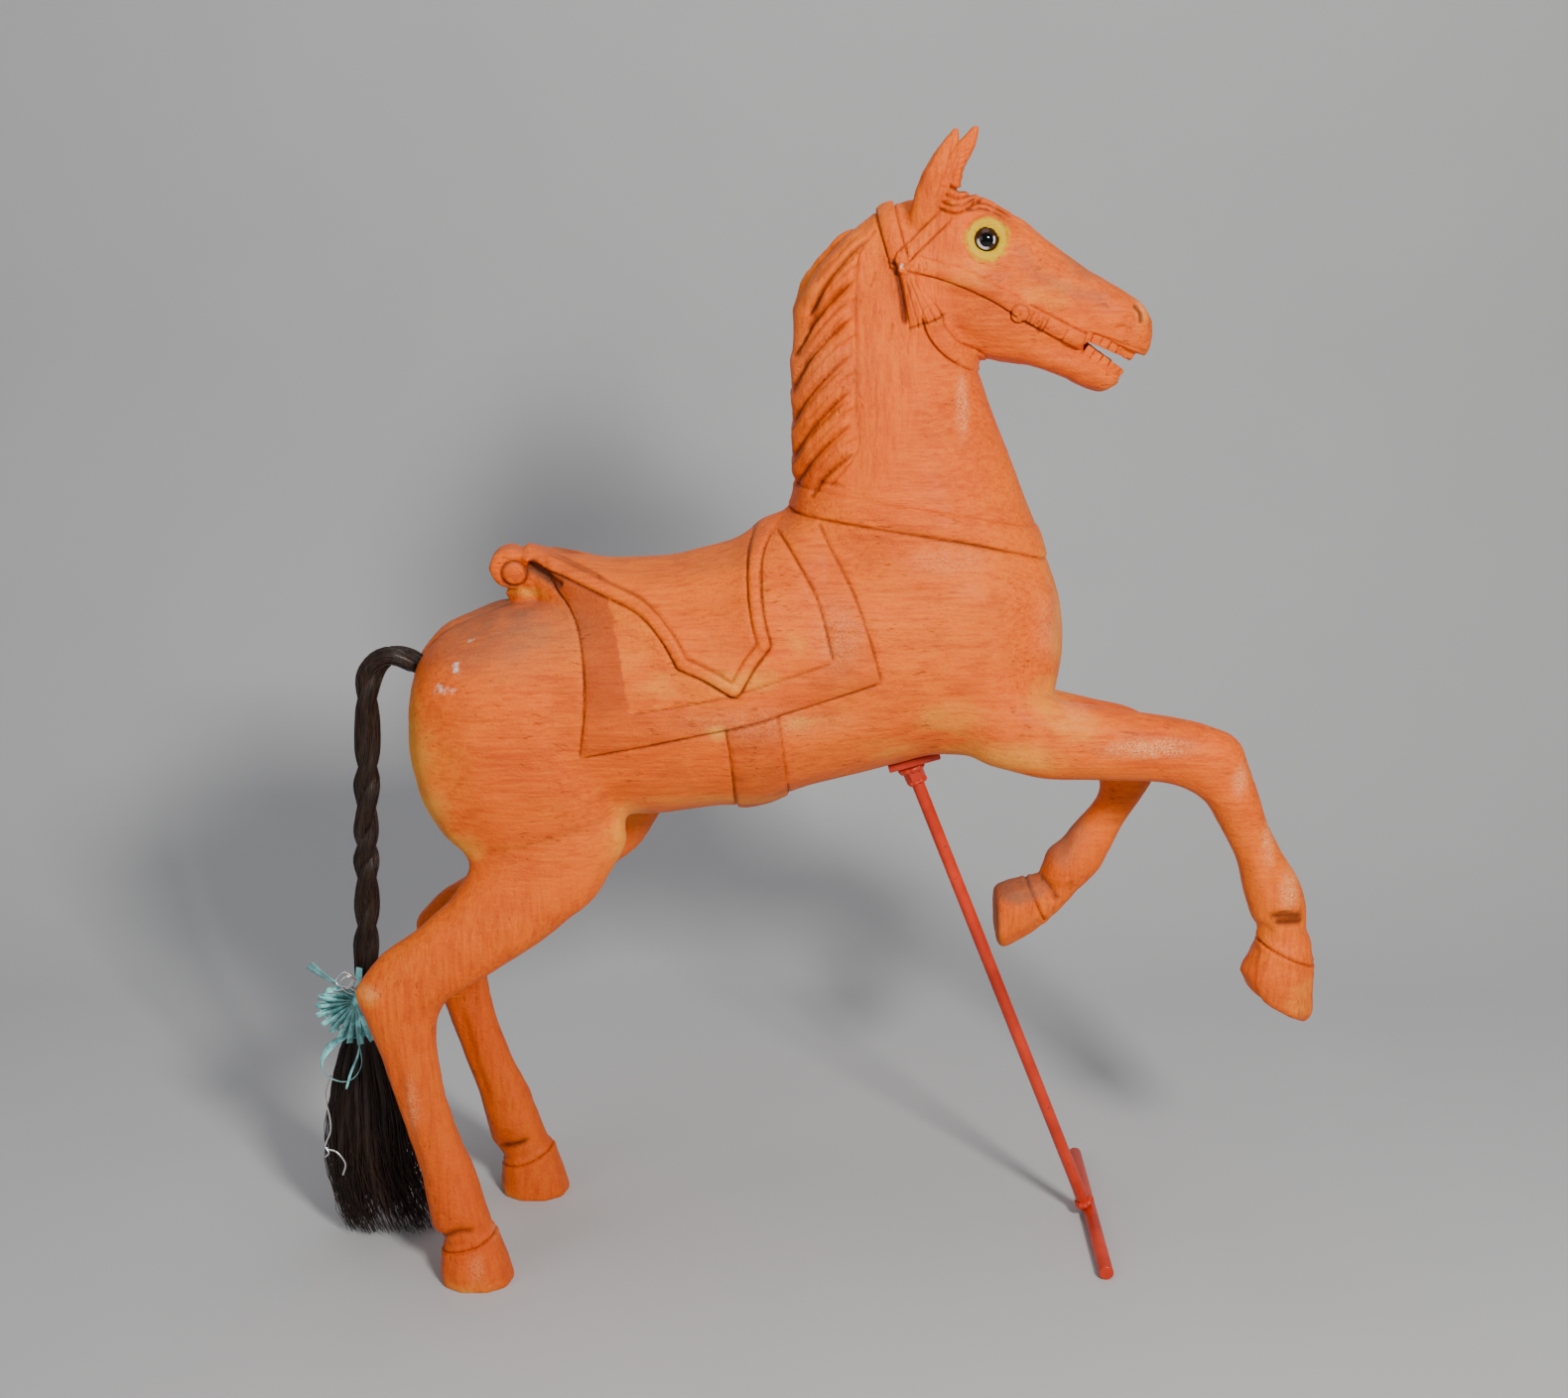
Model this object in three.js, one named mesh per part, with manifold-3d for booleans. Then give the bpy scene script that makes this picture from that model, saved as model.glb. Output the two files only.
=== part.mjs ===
// Carousel horse: a leaping figure carved from built-up wood, with its saddle, cloth, straps and
// bridle carved on it. It has glass eyes, a twisted horsehair tail tied with a ribbon bow, and a
// painted steel prop from the belly down to a cross bar. It stands on its hind hooves and that bar.
// Millimetres. +X is the way the horse faces, +Z is up, and -Y is the horse's right side.

import * as THREE from 'three';
import { LoftGeometry } from 'three/addons/geometries/LoftGeometry.js';
import { mergeVertices } from 'three/addons/utils/BufferGeometryUtils.js';
import Module from 'manifold-3d';

// ---------------------------------------------------------------- driving dimensions

const GAP = 0.3; // clearance between pieces that touch
const THROUGH = 400; // length of a cut or raised band that passes from side to side

const CLOTH_RAISE = 3.5; // saddle cloth above the coat
const STRAP_RAISE = 5.5; // straps and saddle flap above the coat
const WELT_RAISE = 11; // rolled edge of the saddle flap above the coat
const WELT_WIDTH = 15;

const HIND_TRACK = 110; // side offset of a hind hoof
const FORE_TRACK = 78; // side offset of a foreleg
const FAR_HOOF_STEP = 46; // how far the left hind hoof stands ahead of the right one
const FAR_HIND_STEPS = [40, 42, 28, 38, FAR_HOOF_STEP]; // the same down the leg, from the thigh
const HOOF_HALF = 40; // half the width of a hoof's sole

const EYE = { x: 219, y: 36, z: 1224, radius: 14.5 };
const EAR_SPREAD = 34; // side offset of an ear
const EAR_STEP = 27; // how far the left ear points ahead of the right one
const NOSTRIL = { at: [372, 34, 1128], radii: [10, 6, 5] };

const SCROLL = { x: -313, z: 853, radius: 24, half: 18 }; // curl at the back of the saddle
const SCROLL_EYE = { radius: 13, proud: 2, drop: 2 };
const SCROLL_STEM = { ahead: 24, drop: 32, radii: [34, 14, 16] }; // wood that carries the curl
const CANTLE_REAR = -350; // behind the curl, where the saddle's outline closes
const OVER_TOP = 1000; // above the saddle, where the outlines of the tack close

const MANE = [
  { side: -1, count: 6, pitch: 38, lock: { half: 16, lift: 7 } },
  { side: 1, count: 3, pitch: 72, lock: { half: 26, lift: 6 } },
];
const MANE_LOCK = [[81, 1200], [68, 1182], [42, 1162], [22, 1130]]; // the highest lock of each row
const MANE_TIP_PITCH = 0.96; // the tips of the locks lie closer than their roots, as a share
const TOP_LOCK = [[101, 1228], [82, 1206], [56, 1176], [34, 1140]];
const FORELOCK = { line: [[174, 1268], [204, 1262], [232, 1254]], lock: { half: 10, lift: 8 } };
const LOCK_ENDS = 0.25; // width of a lock at its very end, as a share of its full width
const LOCK_BLUNT = 0.6; // rings by which a lock stops short of its points
const LOCK_SUNK = 1; // how deep the middle of a lock lies in the neck
const LOCK_NEAREST = 4; // the closest that a lock comes to the middle plane

const TOOTH = { pitch: 10.5, length: 9.4, height: 12, narrowing: 0.3 };
const UPPER_TEETH = { count: 5, x: 346, z: 1115, slope: -0.45, half: 23 };
const LOWER_TEETH = { count: 4, x: 341, z: 1095, slope: -0.7, half: 20 };

const ROD = { top: [152, 0, 606], foot: [383, 34, 13], radius: 7.7, sides: 14 };
const BAR = { x: 388, y: 34, length: 306, radius: 9, sunk: 0.6, sides: 18 };
const PLATE = { x: 152, z: 624, length: 62, width: 52, thickness: 9, slope: 0.29 };
const COLLAR = { radius: 13, height: 22, raise: 4, sides: 6 };
const WELD = { back: 4, raise: 4, radii: [15, 15, 10] }; // bead that joins the rod to the bar

const BRAID = { radius: 14.2, lobe: 0.13, turns: 5.5, sides: 8, steps: 24 };

const BOW = { x: -513, y: -17, z: 316 };
const BOW_WRAP = [19, 22, 13]; // radii of the turns of ribbon round the tail
const KNOT = { radius: 9, out: 3 };
const RIBBON_THICKNESS = 2.2;
const BOW_LOOP = {
  route: [
    [0, -2, 0], [-22, -4, -32], [-44, -4, -66], [-26, -4, -92], [2, -6, -74], [8, -6, -36], [2, -2, 0],
  ],
  width: 11,
  steps: 10,
};
const BOW_END = {
  route: [[0, 0, 0], [-24, -4, 22], [-42, -5, 38], [-62, -4, 48]],
  width: 16,
  steps: 3,
};
const PETALS = { degrees: [165, 200, 235, 270, 305], lengths: [38, 44], width: 20, out: 4, layer: 2 };
// Along a petal: how far out and how wide, as shares of its length and width, and half its thickness.
const PETAL_STATIONS = [[0, 0.35, 3], [0.35, 0.8, 4.5], [0.75, 1, 4.5], [1, 0.45, 2.5]];

// ---------------------------------------------------------------- solids and lofts

const wasm = await Module();
wasm.setup();

/** A closed geometry as a solid that can be joined and cut. */
function solid(geometry) {
  const bare = geometry.index ? geometry.toNonIndexed() : geometry.clone();
  bare.deleteAttribute('normal');
  bare.deleteAttribute('uv');
  const merged = mergeVertices(bare, 1e-3);
  return new wasm.Manifold(new wasm.Mesh({
    numProp: 3,
    vertProperties: merged.attributes.position.array,
    triVerts: Uint32Array.from(merged.index.array),
  }));
}

/** A solid back as a geometry. */
function geometryOf(shape) {
  const mesh = shape.getMesh();
  const geometry = new THREE.BufferGeometry();
  geometry.setAttribute('position', new THREE.BufferAttribute(mesh.vertProperties, 3));
  geometry.setIndex(new THREE.BufferAttribute(mesh.triVerts, 1));
  geometry.computeVertexNormals();
  return geometry;
}

/** All the solids of a list joined into one. */
function join(shapes) {
  return shapes.reduce((whole, shape) => whole.add(shape));
}

/** The middle of a ring of points. */
function middleOf(ring) {
  const middle = new THREE.Vector3();
  ring.forEach((point) => middle.add(point));
  return middle.divideScalar(ring.length);
}

/** A capped loft through rings, each turned so that the skin faces out. */
function loft(rings) {
  const middle = middleOf(rings[0]);
  const onward = middleOf(rings[1]).sub(middle);
  const quarter = Math.floor(rings[0].length / 4);
  const start = rings[0][0].clone().sub(middle);
  const turned = start.cross(rings[0][quarter].clone().sub(middle));
  const sections = turned.dot(onward) > 0 ? rings : rings.map((ring) => [...ring].reverse());
  return solid(new LoftGeometry(sections, { capStart: true, capEnd: true }));
}

/** A rounded ring in the plane that holds the line from back to front and the Y axis. */
function ovalRing(back, front, half, sides, power) {
  const centre = back.clone().add(front).multiplyScalar(0.5);
  const reach = front.clone().sub(back).multiplyScalar(0.5);
  const ring = [];
  for (let i = 0; i < sides; i += 1) {
    const angle = (2 * Math.PI * i) / sides;
    const along = Math.sign(Math.cos(angle)) * Math.abs(Math.cos(angle)) ** (2 / power);
    const across = Math.sign(Math.sin(angle)) * Math.abs(Math.sin(angle)) ** (2 / power);
    const point = centre.clone().addScaledVector(reach, along);
    point.y += across * half;
    ring.push(point);
  }
  return ring;
}

/**
 * A carved limb. Each station is [back x, back z, front x, front z, half width, side offset]: two
 * points of the side profile, and the width there. The limb can be grown all round by some mm.
 */
function limb(stations, { sides = 10, steps = stations.length - 1, power = 2.2, grow = 0 } = {}) {
  const places = stations.map((_, i) => i);
  const profile = new THREE.CubicInterpolant(places, stations.flat(), stations[0].length);
  const rings = [];
  for (let i = 0; i <= steps; i += 1) {
    const place = (i / steps) * (places.length - 1);
    const [backX, backZ, frontX, frontZ, half, y] = profile.evaluate(place);
    const back = new THREE.Vector3(backX, y, backZ);
    const front = new THREE.Vector3(frontX, y, frontZ);
    const more = front.clone().sub(back).setLength(grow);
    rings.push(ovalRing(back.sub(more), front.add(more), half + grow, sides, power));
  }
  return loft(rings);
}

/** A ball stretched to three radii. */
function ball([x, y, z], [rx, ry, rz], grow = 0, sides = 10) {
  const geometry = new THREE.SphereGeometry(1, sides, Math.round(sides * 0.6));
  geometry.scale(rx + grow, ry + grow, rz + grow);
  geometry.translate(x, y, z);
  return solid(geometry);
}

/** A round bar along Y. */
function crossBar([x, y, z], radius, length, sides = 14) {
  const geometry = new THREE.CylinderGeometry(radius, radius, length, sides);
  geometry.translate(x, y, z);
  return solid(geometry);
}

/** A flat shape in the side view, given in X and Z, as a block that passes right through. */
function through(shape) {
  const options = { depth: THROUGH, bevelEnabled: false, curveSegments: 1 };
  const geometry = new THREE.ExtrudeGeometry(shape, options);
  geometry.translate(0, 0, -THROUGH / 2);
  geometry.rotateX(Math.PI / 2);
  return solid(geometry);
}

/** An outline of the side view made of edges, each a smooth line through its points. */
function outline(...edges) {
  const shape = new THREE.Shape();
  shape.moveTo(...edges[0][0]);
  edges.forEach((edge) => {
    const points = edge.slice(1).map((point) => new THREE.Vector2(...point));
    if (points.length === 1) shape.lineTo(points[0].x, points[0].y);
    else shape.splineThru(points);
  });
  return shape;
}

/** A band of one width along a smooth line of the side view. */
function band(points, width, steps = points.length - 1) {
  const line = new THREE.SplineCurve(points.map((point) => new THREE.Vector2(...point)));
  const left = [];
  const right = [];
  for (let i = 0; i <= steps; i += 1) {
    const place = line.getPoint(i / steps);
    const along = line.getTangent(i / steps);
    const across = new THREE.Vector2(-along.y, along.x).multiplyScalar(width / 2);
    left.push(place.clone().add(across));
    right.unshift(place.clone().sub(across));
  }
  return new THREE.Shape([...left, ...right]);
}

/** The edges that take an outline from the end of its front edge up and back over the figure. */
function overBack([x, z], rear) {
  return [[[x, z], [x, OVER_TOP]], [[x, OVER_TOP], [rear, OVER_TOP]]];
}

/** The same thing made for the right side and for the left side. */
function bothSides(make) {
  return join([make(-1), make(1)]);
}

/** The stations of a limb put on one side, and moved forward by steps spread from top to foot. */
function placed(stations, side, steps = [0, 0]) {
  const spread = new THREE.LinearInterpolant(steps.map((_, i) => i), steps, 1);
  const reach = (steps.length - 1) / (stations.length - 1);
  return stations.map(([backX, backZ, frontX, frontZ, half, y], i) => {
    const [step] = spread.evaluate(i * reach);
    return [backX + step, backZ, frontX + step, frontZ, half, side * y];
  });
}

// ---------------------------------------------------------------- profiles of the figure

const TRUNK = [
  [-432, 712, -434, 690, 14, 0],
  [-423, 745, -429, 645, 66, 0],
  [-393, 781, -398, 595, 104, 0],
  [-325, 811, -330, 566, 120, 0],
  [-235, 822, -240, 556, 124, 0],
  [-140, 820, -145, 562, 125, 0],
  [-45, 830, -45, 576, 125, 0],
  [50, 880, 50, 600, 122, 0],
  [140, 905, 150, 626, 116, 0],
  [225, 915, 245, 655, 104, 0],
  [291, 882, 309, 686, 70, 0],
  [311, 838, 321, 745, 34, 0],
  [318, 808, 321, 780, 10, 0],
];

const SEAT = [
  [-322, 868, -318, 838, 13, 0],
  [-290, 872, -286, 820, 18, 0],
  [-255, 862, -250, 776, 46, 0],
  [-215, 857, -212, 680, 86, 0],
  [-165, 858, -165, 600, 110, 0],
  [-100, 863, -100, 580, 119, 0],
  [-40, 887, -40, 590, 120, 0],
  [5, 920, 5, 620, 115, 0],
  [38, 945, 38, 680, 98, 0],
];

const NECK = [
  [-40, 800, 290, 780, 106, 0],
  [-6, 880, 300, 850, 100, 0],
  [14, 950, 285, 911, 84, 0],
  [8, 1012, 259, 975, 70, 0],
  [5, 1080, 232, 1041, 61, 0],
  [12, 1146, 216, 1085, 55, 0],
  [36, 1190, 214, 1118, 51, 0],
  [70, 1227, 218, 1150, 47, 0],
  [104, 1252, 224, 1185, 42, 0],
];

const HEAD = [
  [106, 1250, 150, 1150, 30, 0],
  [135, 1264, 190, 1100, 44, 0],
  [190, 1270, 232, 1088, 49, 0],
  [240, 1257, 272, 1081, 47, 0],
  [278, 1231, 300, 1086, 40, 0],
  [320, 1199, 325, 1096, 35, 0],
  [360, 1175, 360, 1095, 34, 0],
  [392, 1157, 389, 1087, 34, 0],
  [406, 1138, 402, 1094, 27, 0],
  [410, 1124, 407, 1105, 10, 0],
];

const JAW = [
  [262, 1120, 276, 1082, 36, 0],
  [300, 1112, 308, 1071, 34, 0],
  [330, 1104, 336, 1057, 31, 0],
  [350, 1092, 356, 1052, 29, 0],
  [368, 1084, 371, 1061, 24, 0],
  [377, 1079, 377, 1069, 12, 0],
];

const HAUNCH = [
  [-398, 768, -250, 790, 40, 56],
  [-429, 715, -212, 742, 66, 62],
  [-433, 648, -188, 692, 72, 61],
  [-419, 588, -176, 652, 68, 64],
  [-392, 546, -177, 618, 54, 72],
  [-364, 529, -205, 588, 32, 82],
];

const SHOULDER = { at: [200, 44, 742], radii: [98, 67, 108] };
const BROW = { at: [222, 32, 1227], radii: [26, 14, 24] };

const NEAR_FORELEG = [
  [225, 780, 185, 700, 40, FORE_TRACK - 14],
  [296, 719, 215, 641, 42, FORE_TRACK - 6],
  [350, 711, 290, 621, 38, FORE_TRACK],
  [415, 701, 365, 620, 34, FORE_TRACK],
  [474, 690, 425, 619, 32, FORE_TRACK],
  [519, 669, 461, 609, 32, FORE_TRACK],
  [542, 612, 484, 592, 30, FORE_TRACK],
  [556, 570, 502, 560, 26, FORE_TRACK],
  [576, 532, 519, 530, 25, FORE_TRACK],
  [594, 505, 527, 502, 27, FORE_TRACK],
  [605, 480, 533, 478, 28, FORE_TRACK],
  [608, 455, 543, 452, 27, FORE_TRACK],
  [611, 432, 552, 425, 26, FORE_TRACK],
];

const NEAR_FORE_HOOF = [
  [610, 440, 552, 426, 26, FORE_TRACK],
  [616, 422, 542, 406, 33, FORE_TRACK],
  [622, 385, 533, 387, 38, FORE_TRACK],
  [623, 336, 542, 366, 39, FORE_TRACK],
  [614, 326, 545, 364, 36, FORE_TRACK],
];

const FAR_FORELEG = [
  [225, 765, 185, 700, 38, FORE_TRACK - 14],
  [300, 692, 220, 632, 40, FORE_TRACK - 4],
  [360, 676, 295, 604, 37, FORE_TRACK],
  [425, 662, 350, 590, 33, FORE_TRACK],
  [458, 636, 378, 578, 30, FORE_TRACK],
  [456, 585, 385, 562, 28, FORE_TRACK],
  [437, 548, 380, 545, 24, FORE_TRACK],
  [416, 515, 365, 528, 23, FORE_TRACK],
  [403, 485, 344, 500, 25, FORE_TRACK],
  [392, 460, 330, 480, 27, FORE_TRACK],
  [374, 437, 319, 459, 26, FORE_TRACK],
  [352, 415, 309, 444, 25, FORE_TRACK],
];

const FAR_FORE_HOOF = [
  [358, 422, 314, 448, 25, FORE_TRACK],
  [341, 403, 302, 442, 31, FORE_TRACK],
  [310, 375, 277, 438, 37, FORE_TRACK],
  [269, 350, 264, 432, 39, FORE_TRACK],
  [264, 354, 260, 425, 36, FORE_TRACK],
];

const HIND_LEG = [
  [-405, 640, -195, 650, 46, HIND_TRACK - 38],
  [-365, 517, -175, 551, 42, HIND_TRACK - 26],
  [-388, 480, -214, 483, 38, HIND_TRACK - 18],
  [-427, 445, -278, 431, 34, HIND_TRACK - 12],
  [-474, 412, -334, 395, 31, HIND_TRACK - 8],
  [-500, 376, -390, 361, 29, HIND_TRACK - 4],
  [-490, 340, -405, 330, 26, HIND_TRACK - 2],
  [-473, 293, -404, 290, 23, HIND_TRACK],
  [-458, 240, -397, 238, 21, HIND_TRACK],
  [-444, 188, -383, 186, 22, HIND_TRACK],
  [-432, 142, -365, 140, 25, HIND_TRACK],
  [-427, 100, -356, 100, 28, HIND_TRACK],
  [-422, 72, -349, 76, 28, HIND_TRACK],
  [-406, 46, -342, 52, 27, HIND_TRACK],
];

const HIND_HOOF = [
  [-405, 58, -343, 64, 26, HIND_TRACK],
  [-411, 42, -338, 50, 33, HIND_TRACK],
  [-414, 22, -330, 26, HOOF_HALF - 2, HIND_TRACK],
  [-414, 0, -324, 0, HOOF_HALF, HIND_TRACK],
];

const EAR = [
  [133, 1236, 178, 1240, 12, EAR_SPREAD - 4],
  [137, 1262, 178, 1266, 13, EAR_SPREAD],
  [143, 1284, 178, 1286, 15, EAR_SPREAD + 2],
  [154, 1305, 184, 1306, 14, EAR_SPREAD + 3],
  [168, 1326, 190, 1325, 9, EAR_SPREAD + 2],
  [182, 1341, 188, 1340, 3, EAR_SPREAD],
];

const EAR_HOLLOW = [
  [165, 1280, 186, 1280, 7, EAR_SPREAD + 8],
  [171, 1302, 194, 1302, 8, EAR_SPREAD + 9],
  [180, 1320, 198, 1319, 5, EAR_SPREAD + 7],
  [188, 1331, 198, 1330, 2, EAR_SPREAD + 5],
];

const TASSEL = [
  [122, 1192, 142, 1196, 9, 47],
  [124, 1180, 147, 1185, 8, 49],
  [129, 1155, 160, 1163, 9, 50],
  [135, 1126, 176, 1141, 8, 50],
];

const TUFT = [
  [-525, 322, -498, 322, 12, 0],
  [-541, 250, -482, 258, 22, 0],
  [-562, 160, -470, 165, 31, 0],
  [-569, 80, -463, 85, 34, 0],
  [-560, 30, -462, 32, 28, 0],
  [-546, 8, -476, 8, 20, 0],
];

const TAIL_ROUTE = [
  [-418, 733], [-444, 747], [-464, 750], [-480, 735], [-488, 708], [-492, 638],
  [-496, 540], [-500, 450], [-505, 370], [-511, 300],
];

// ---------------------------------------------------------------- outlines of the tack

const CLOTH_BACK = [[-268, 845], [-240, 815], [-226, 780], [-222, 722], [-229, 659]];
const CLOTH_LOWER = [[-229, 659], [-132, 679], [-47, 698], [17, 717], [109, 746]];
const CLOTH_FRONT = [[109, 746], [96, 792], [79, 839], [54, 886], [37, 918]];

const FLAP_BACK = [[-296, 872], [-250, 858], [-205, 842], [-160, 824], [-132, 798], [-113, 768]];
const FLAP_LOWER = [[-113, 768], [-86, 757], [-55, 739]];
const FLAP_POINT = [[-55, 739], [-40, 766], [-22, 790]];
const FLAP_FRONT = [[-22, 790], [-29, 818], [-33, 860], [-28, 892], [-8, 925]];

const GIRTH = { line: [[-36, 705], [-28, 640], [-22, 550]], width: 58, steps: 2 };
const BREAST_STRAP = {
  line: [[12, 938], [105, 928], [200, 912], [270, 893], [340, 866]],
  width: 27,
  steps: 4,
};
const CROWN_STRAP = { line: [[108, 1275], [114, 1240], [125, 1200]], width: 19, steps: 2 };
const BROW_STRAP = { line: [[128, 1205], [184, 1258]], width: 14, steps: 1 };
const CHEEK_STRAP = { line: [[136, 1200], [187, 1186], [232, 1166], [262, 1147]], width: 14, steps: 3 };
const BIT_STRAP = { line: [[262, 1147], [330, 1112]], width: 15, steps: 1 };
const THROAT_STRAP = { line: [[156, 1150], [206, 1078]], width: 18, steps: 1 };
const BIT_DISC = { x: 262, y: 40, z: 1147, radius: 13 };
const ROSETTE = { at: [127, 48, 1199], radii: [11, 9, 12] };

const MOUTH = outline(
  [[328, 1110], [340, 1121]],
  [[340, 1121], [361, 1112], [389, 1100], [430, 1080]],
  [[430, 1080], [420, 1050]],
  [[420, 1050], [384, 1063], [369, 1073], [350, 1088], [332, 1101]],
  [[332, 1101], [328, 1110]],
);

// ---------------------------------------------------------------- the figure

/** The masses of the figure, grown all round by some mm. */
function masses(grow) {
  const parts = [
    limb(TRUNK, { sides: 16, steps: 12, power: 2.3, grow }),
    limb(SEAT, { sides: 12, steps: 7, power: 2, grow }),
    limb(NECK, { sides: 14, steps: 8, power: 2.1, grow }),
    limb(HEAD, { sides: 12, steps: 10, power: 2.4, grow }),
    limb(JAW, { sides: 8, steps: 5, power: 2.3, grow }),
  ];
  [-1, 1].forEach((side) => {
    parts.push(limb(placed(HAUNCH, side), { sides: 10, steps: 5, grow }));
    [SHOULDER, BROW].forEach(({ at: [x, y, z], radii }) => {
      parts.push(ball([x, side * y, z], radii, grow));
    });
  });
  return join(parts);
}

/** The four legs with their hooves. */
function legs() {
  const leg = { sides: 9 };
  const hoof = { sides: 10, power: 2.3 };
  return join([
    limb(placed(NEAR_FORELEG, -1), leg),
    limb(placed(NEAR_FORE_HOOF, -1), hoof),
    limb(placed(FAR_FORELEG, 1), leg),
    limb(placed(FAR_FORE_HOOF, 1), hoof),
    limb(placed(HIND_LEG, -1), leg),
    limb(placed(HIND_HOOF, -1), hoof),
    limb(placed(HIND_LEG, 1, FAR_HIND_STEPS), leg),
    limb(placed(HIND_HOOF, 1, [FAR_HOOF_STEP, FAR_HOOF_STEP]), hoof),
  ]);
}

const plain = masses(0);

/** What the side-view shapes cut from the figure grown by some mm, to be joined to it. */
function raised(grow, shapes) {
  return masses(grow).intersect(join(shapes.map(through)));
}

function cloth() {
  const closing = overBack(CLOTH_FRONT.at(-1), CLOTH_BACK[0][0]);
  return raised(CLOTH_RAISE, [outline(CLOTH_BACK, CLOTH_LOWER, CLOTH_FRONT, ...closing)]);
}

function saddle() {
  const edges = [FLAP_BACK, FLAP_LOWER, FLAP_POINT, FLAP_FRONT];
  const flap = outline(
    ...edges,
    ...overBack(FLAP_FRONT.at(-1), CANTLE_REAR),
    [[CANTLE_REAR, OVER_TOP], [CANTLE_REAR, FLAP_BACK[0][1]]],
  );
  const welts = edges.map((line) => band(line, WELT_WIDTH));
  const { x, z, radius, half } = SCROLL;
  return join([
    raised(STRAP_RAISE, [flap]),
    raised(WELT_RAISE, welts),
    crossBar([x, 0, z], radius, 2 * half, 14),
    crossBar([x, 0, z - SCROLL_EYE.drop], SCROLL_EYE.radius, 2 * (half + SCROLL_EYE.proud), 8),
    ball([x + SCROLL_STEM.ahead, 0, z - SCROLL_STEM.drop], SCROLL_STEM.radii, 0, 8),
  ]);
}

function straps() {
  const lines = [GIRTH, BREAST_STRAP, CROWN_STRAP, BROW_STRAP, CHEEK_STRAP, BIT_STRAP, THROAT_STRAP];
  const { x, y, z, radius } = BIT_DISC;
  const { at, radii } = ROSETTE;
  return join([
    raised(STRAP_RAISE, lines.map(({ line, width, steps }) => band(line, width, steps))),
    crossBar([x, 0, z], radius, 2 * (y + STRAP_RAISE), 10),
    bothSides((side) => limb(placed(TASSEL, side), { sides: 8, steps: 2 })),
    bothSides((side) => ball([at[0], side * at[1], at[2]], radii, 0, 8)),
  ]);
}

const sideFinder = new THREE.Raycaster();
const plainMesh = new THREE.Mesh(geometryOf(plain), new THREE.MeshBasicMaterial());

/** How far the plain figure's side stands from the middle plane at a place of the side view. */
function sideAt(x, z) {
  sideFinder.set(new THREE.Vector3(x, -THROUGH, z), new THREE.Vector3(0, 1, 0));
  const [hit] = sideFinder.intersectObject(plainMesh);
  return hit ? -hit.point.y : 0;
}

/** A tapering lock of hair laid on the figure's side along a line of the side view. */
function lockOfHair(points, side, { half, lift }, steps = 3) {
  const line = new THREE.SplineCurve(points.map((point) => new THREE.Vector2(...point)));
  const rings = [];
  for (let i = 0; i <= steps; i += 1) {
    const place = line.getPoint(i / steps);
    const along = line.getTangent(i / steps);
    const share = (i + LOCK_BLUNT) / (steps + 2 * LOCK_BLUNT);
    const swell = LOCK_ENDS + (1 - LOCK_ENDS) * Math.sin(Math.PI * share);
    const y = side * Math.max(sideAt(place.x, place.y) - LOCK_SUNK, LOCK_NEAREST);
    const reach = new THREE.Vector2(-along.y, along.x).multiplyScalar(half * swell);
    const back = new THREE.Vector3(place.x - reach.x, y, place.y - reach.y);
    const front = new THREE.Vector3(place.x + reach.x, y, place.y + reach.y);
    rings.push(ovalRing(back, front, lift * swell, 6, 2));
  }
  return loft(rings);
}

function mane() {
  const locks = [];
  MANE.forEach(({ side, count, pitch, lock }) => {
    for (let i = 0; i < count; i += 1) {
      const drops = MANE_LOCK.map((_, j) => (j < MANE_LOCK.length - 1 ? 1 : MANE_TIP_PITCH) * pitch * i);
      const line = MANE_LOCK.map(([x, z], j) => [x, z - drops[j]]);
      locks.push(lockOfHair(line, side, lock));
    }
    locks.push(lockOfHair(TOP_LOCK, side, lock));
  });
  return join(locks);
}

function forelock() {
  return bothSides((side) => lockOfHair(FORELOCK.line, side, FORELOCK.lock, 2));
}

function ears() {
  const ear = { sides: 8, steps: 4 };
  return bothSides((side) => {
    const steps = side > 0 ? [EAR_STEP / 2, EAR_STEP] : [0, 0];
    const leaf = limb(placed(EAR, side, steps), ear);
    return leaf.subtract(limb(placed(EAR_HOLLOW, side, steps), { sides: 5, steps: 2 }));
  });
}

/** A row of square teeth that lie right across the mouth. */
function teeth({ count, x, z, slope, half }) {
  const row = [];
  for (let i = 0; i < count; i += 1) {
    const width = 2 * (half - TOOTH.narrowing * i * i);
    const geometry = new THREE.BoxGeometry(TOOTH.length, width, TOOTH.height);
    geometry.rotateY(-Math.atan(slope));
    const along = i * TOOTH.pitch * Math.cos(Math.atan(slope));
    geometry.translate(x + along, 0, z + slope * along);
    row.push(solid(geometry));
  }
  return join(row);
}

function bellyPlate(grow) {
  const { x, z, length, width, thickness, slope } = PLATE;
  const geometry = new THREE.BoxGeometry(length + 2 * grow, width + 2 * grow, thickness + 2 * grow);
  geometry.rotateY(-Math.atan(slope));
  geometry.translate(x, 0, z);
  return solid(geometry);
}

function eyeball(side, grow) {
  const { x, y, z, radius } = EYE;
  return ball([x, side * y, z], [radius, radius, radius], grow, 9);
}

function horseFigure() {
  const figure = join([plain, legs(), cloth(), saddle(), straps(), mane(), forelock(), ears()]);
  const [x, y, z] = NOSTRIL.at;
  return figure
    .subtract(through(MOUTH))
    .add(teeth(UPPER_TEETH))
    .add(teeth(LOWER_TEETH))
    .subtract(bothSides((side) => ball([x, side * y, z], NOSTRIL.radii, 0, 8)))
    .subtract(bothSides((side) => eyeball(side, GAP)))
    .subtract(bellyPlate(GAP));
}

// ---------------------------------------------------------------- tail, bow and prop

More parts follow.
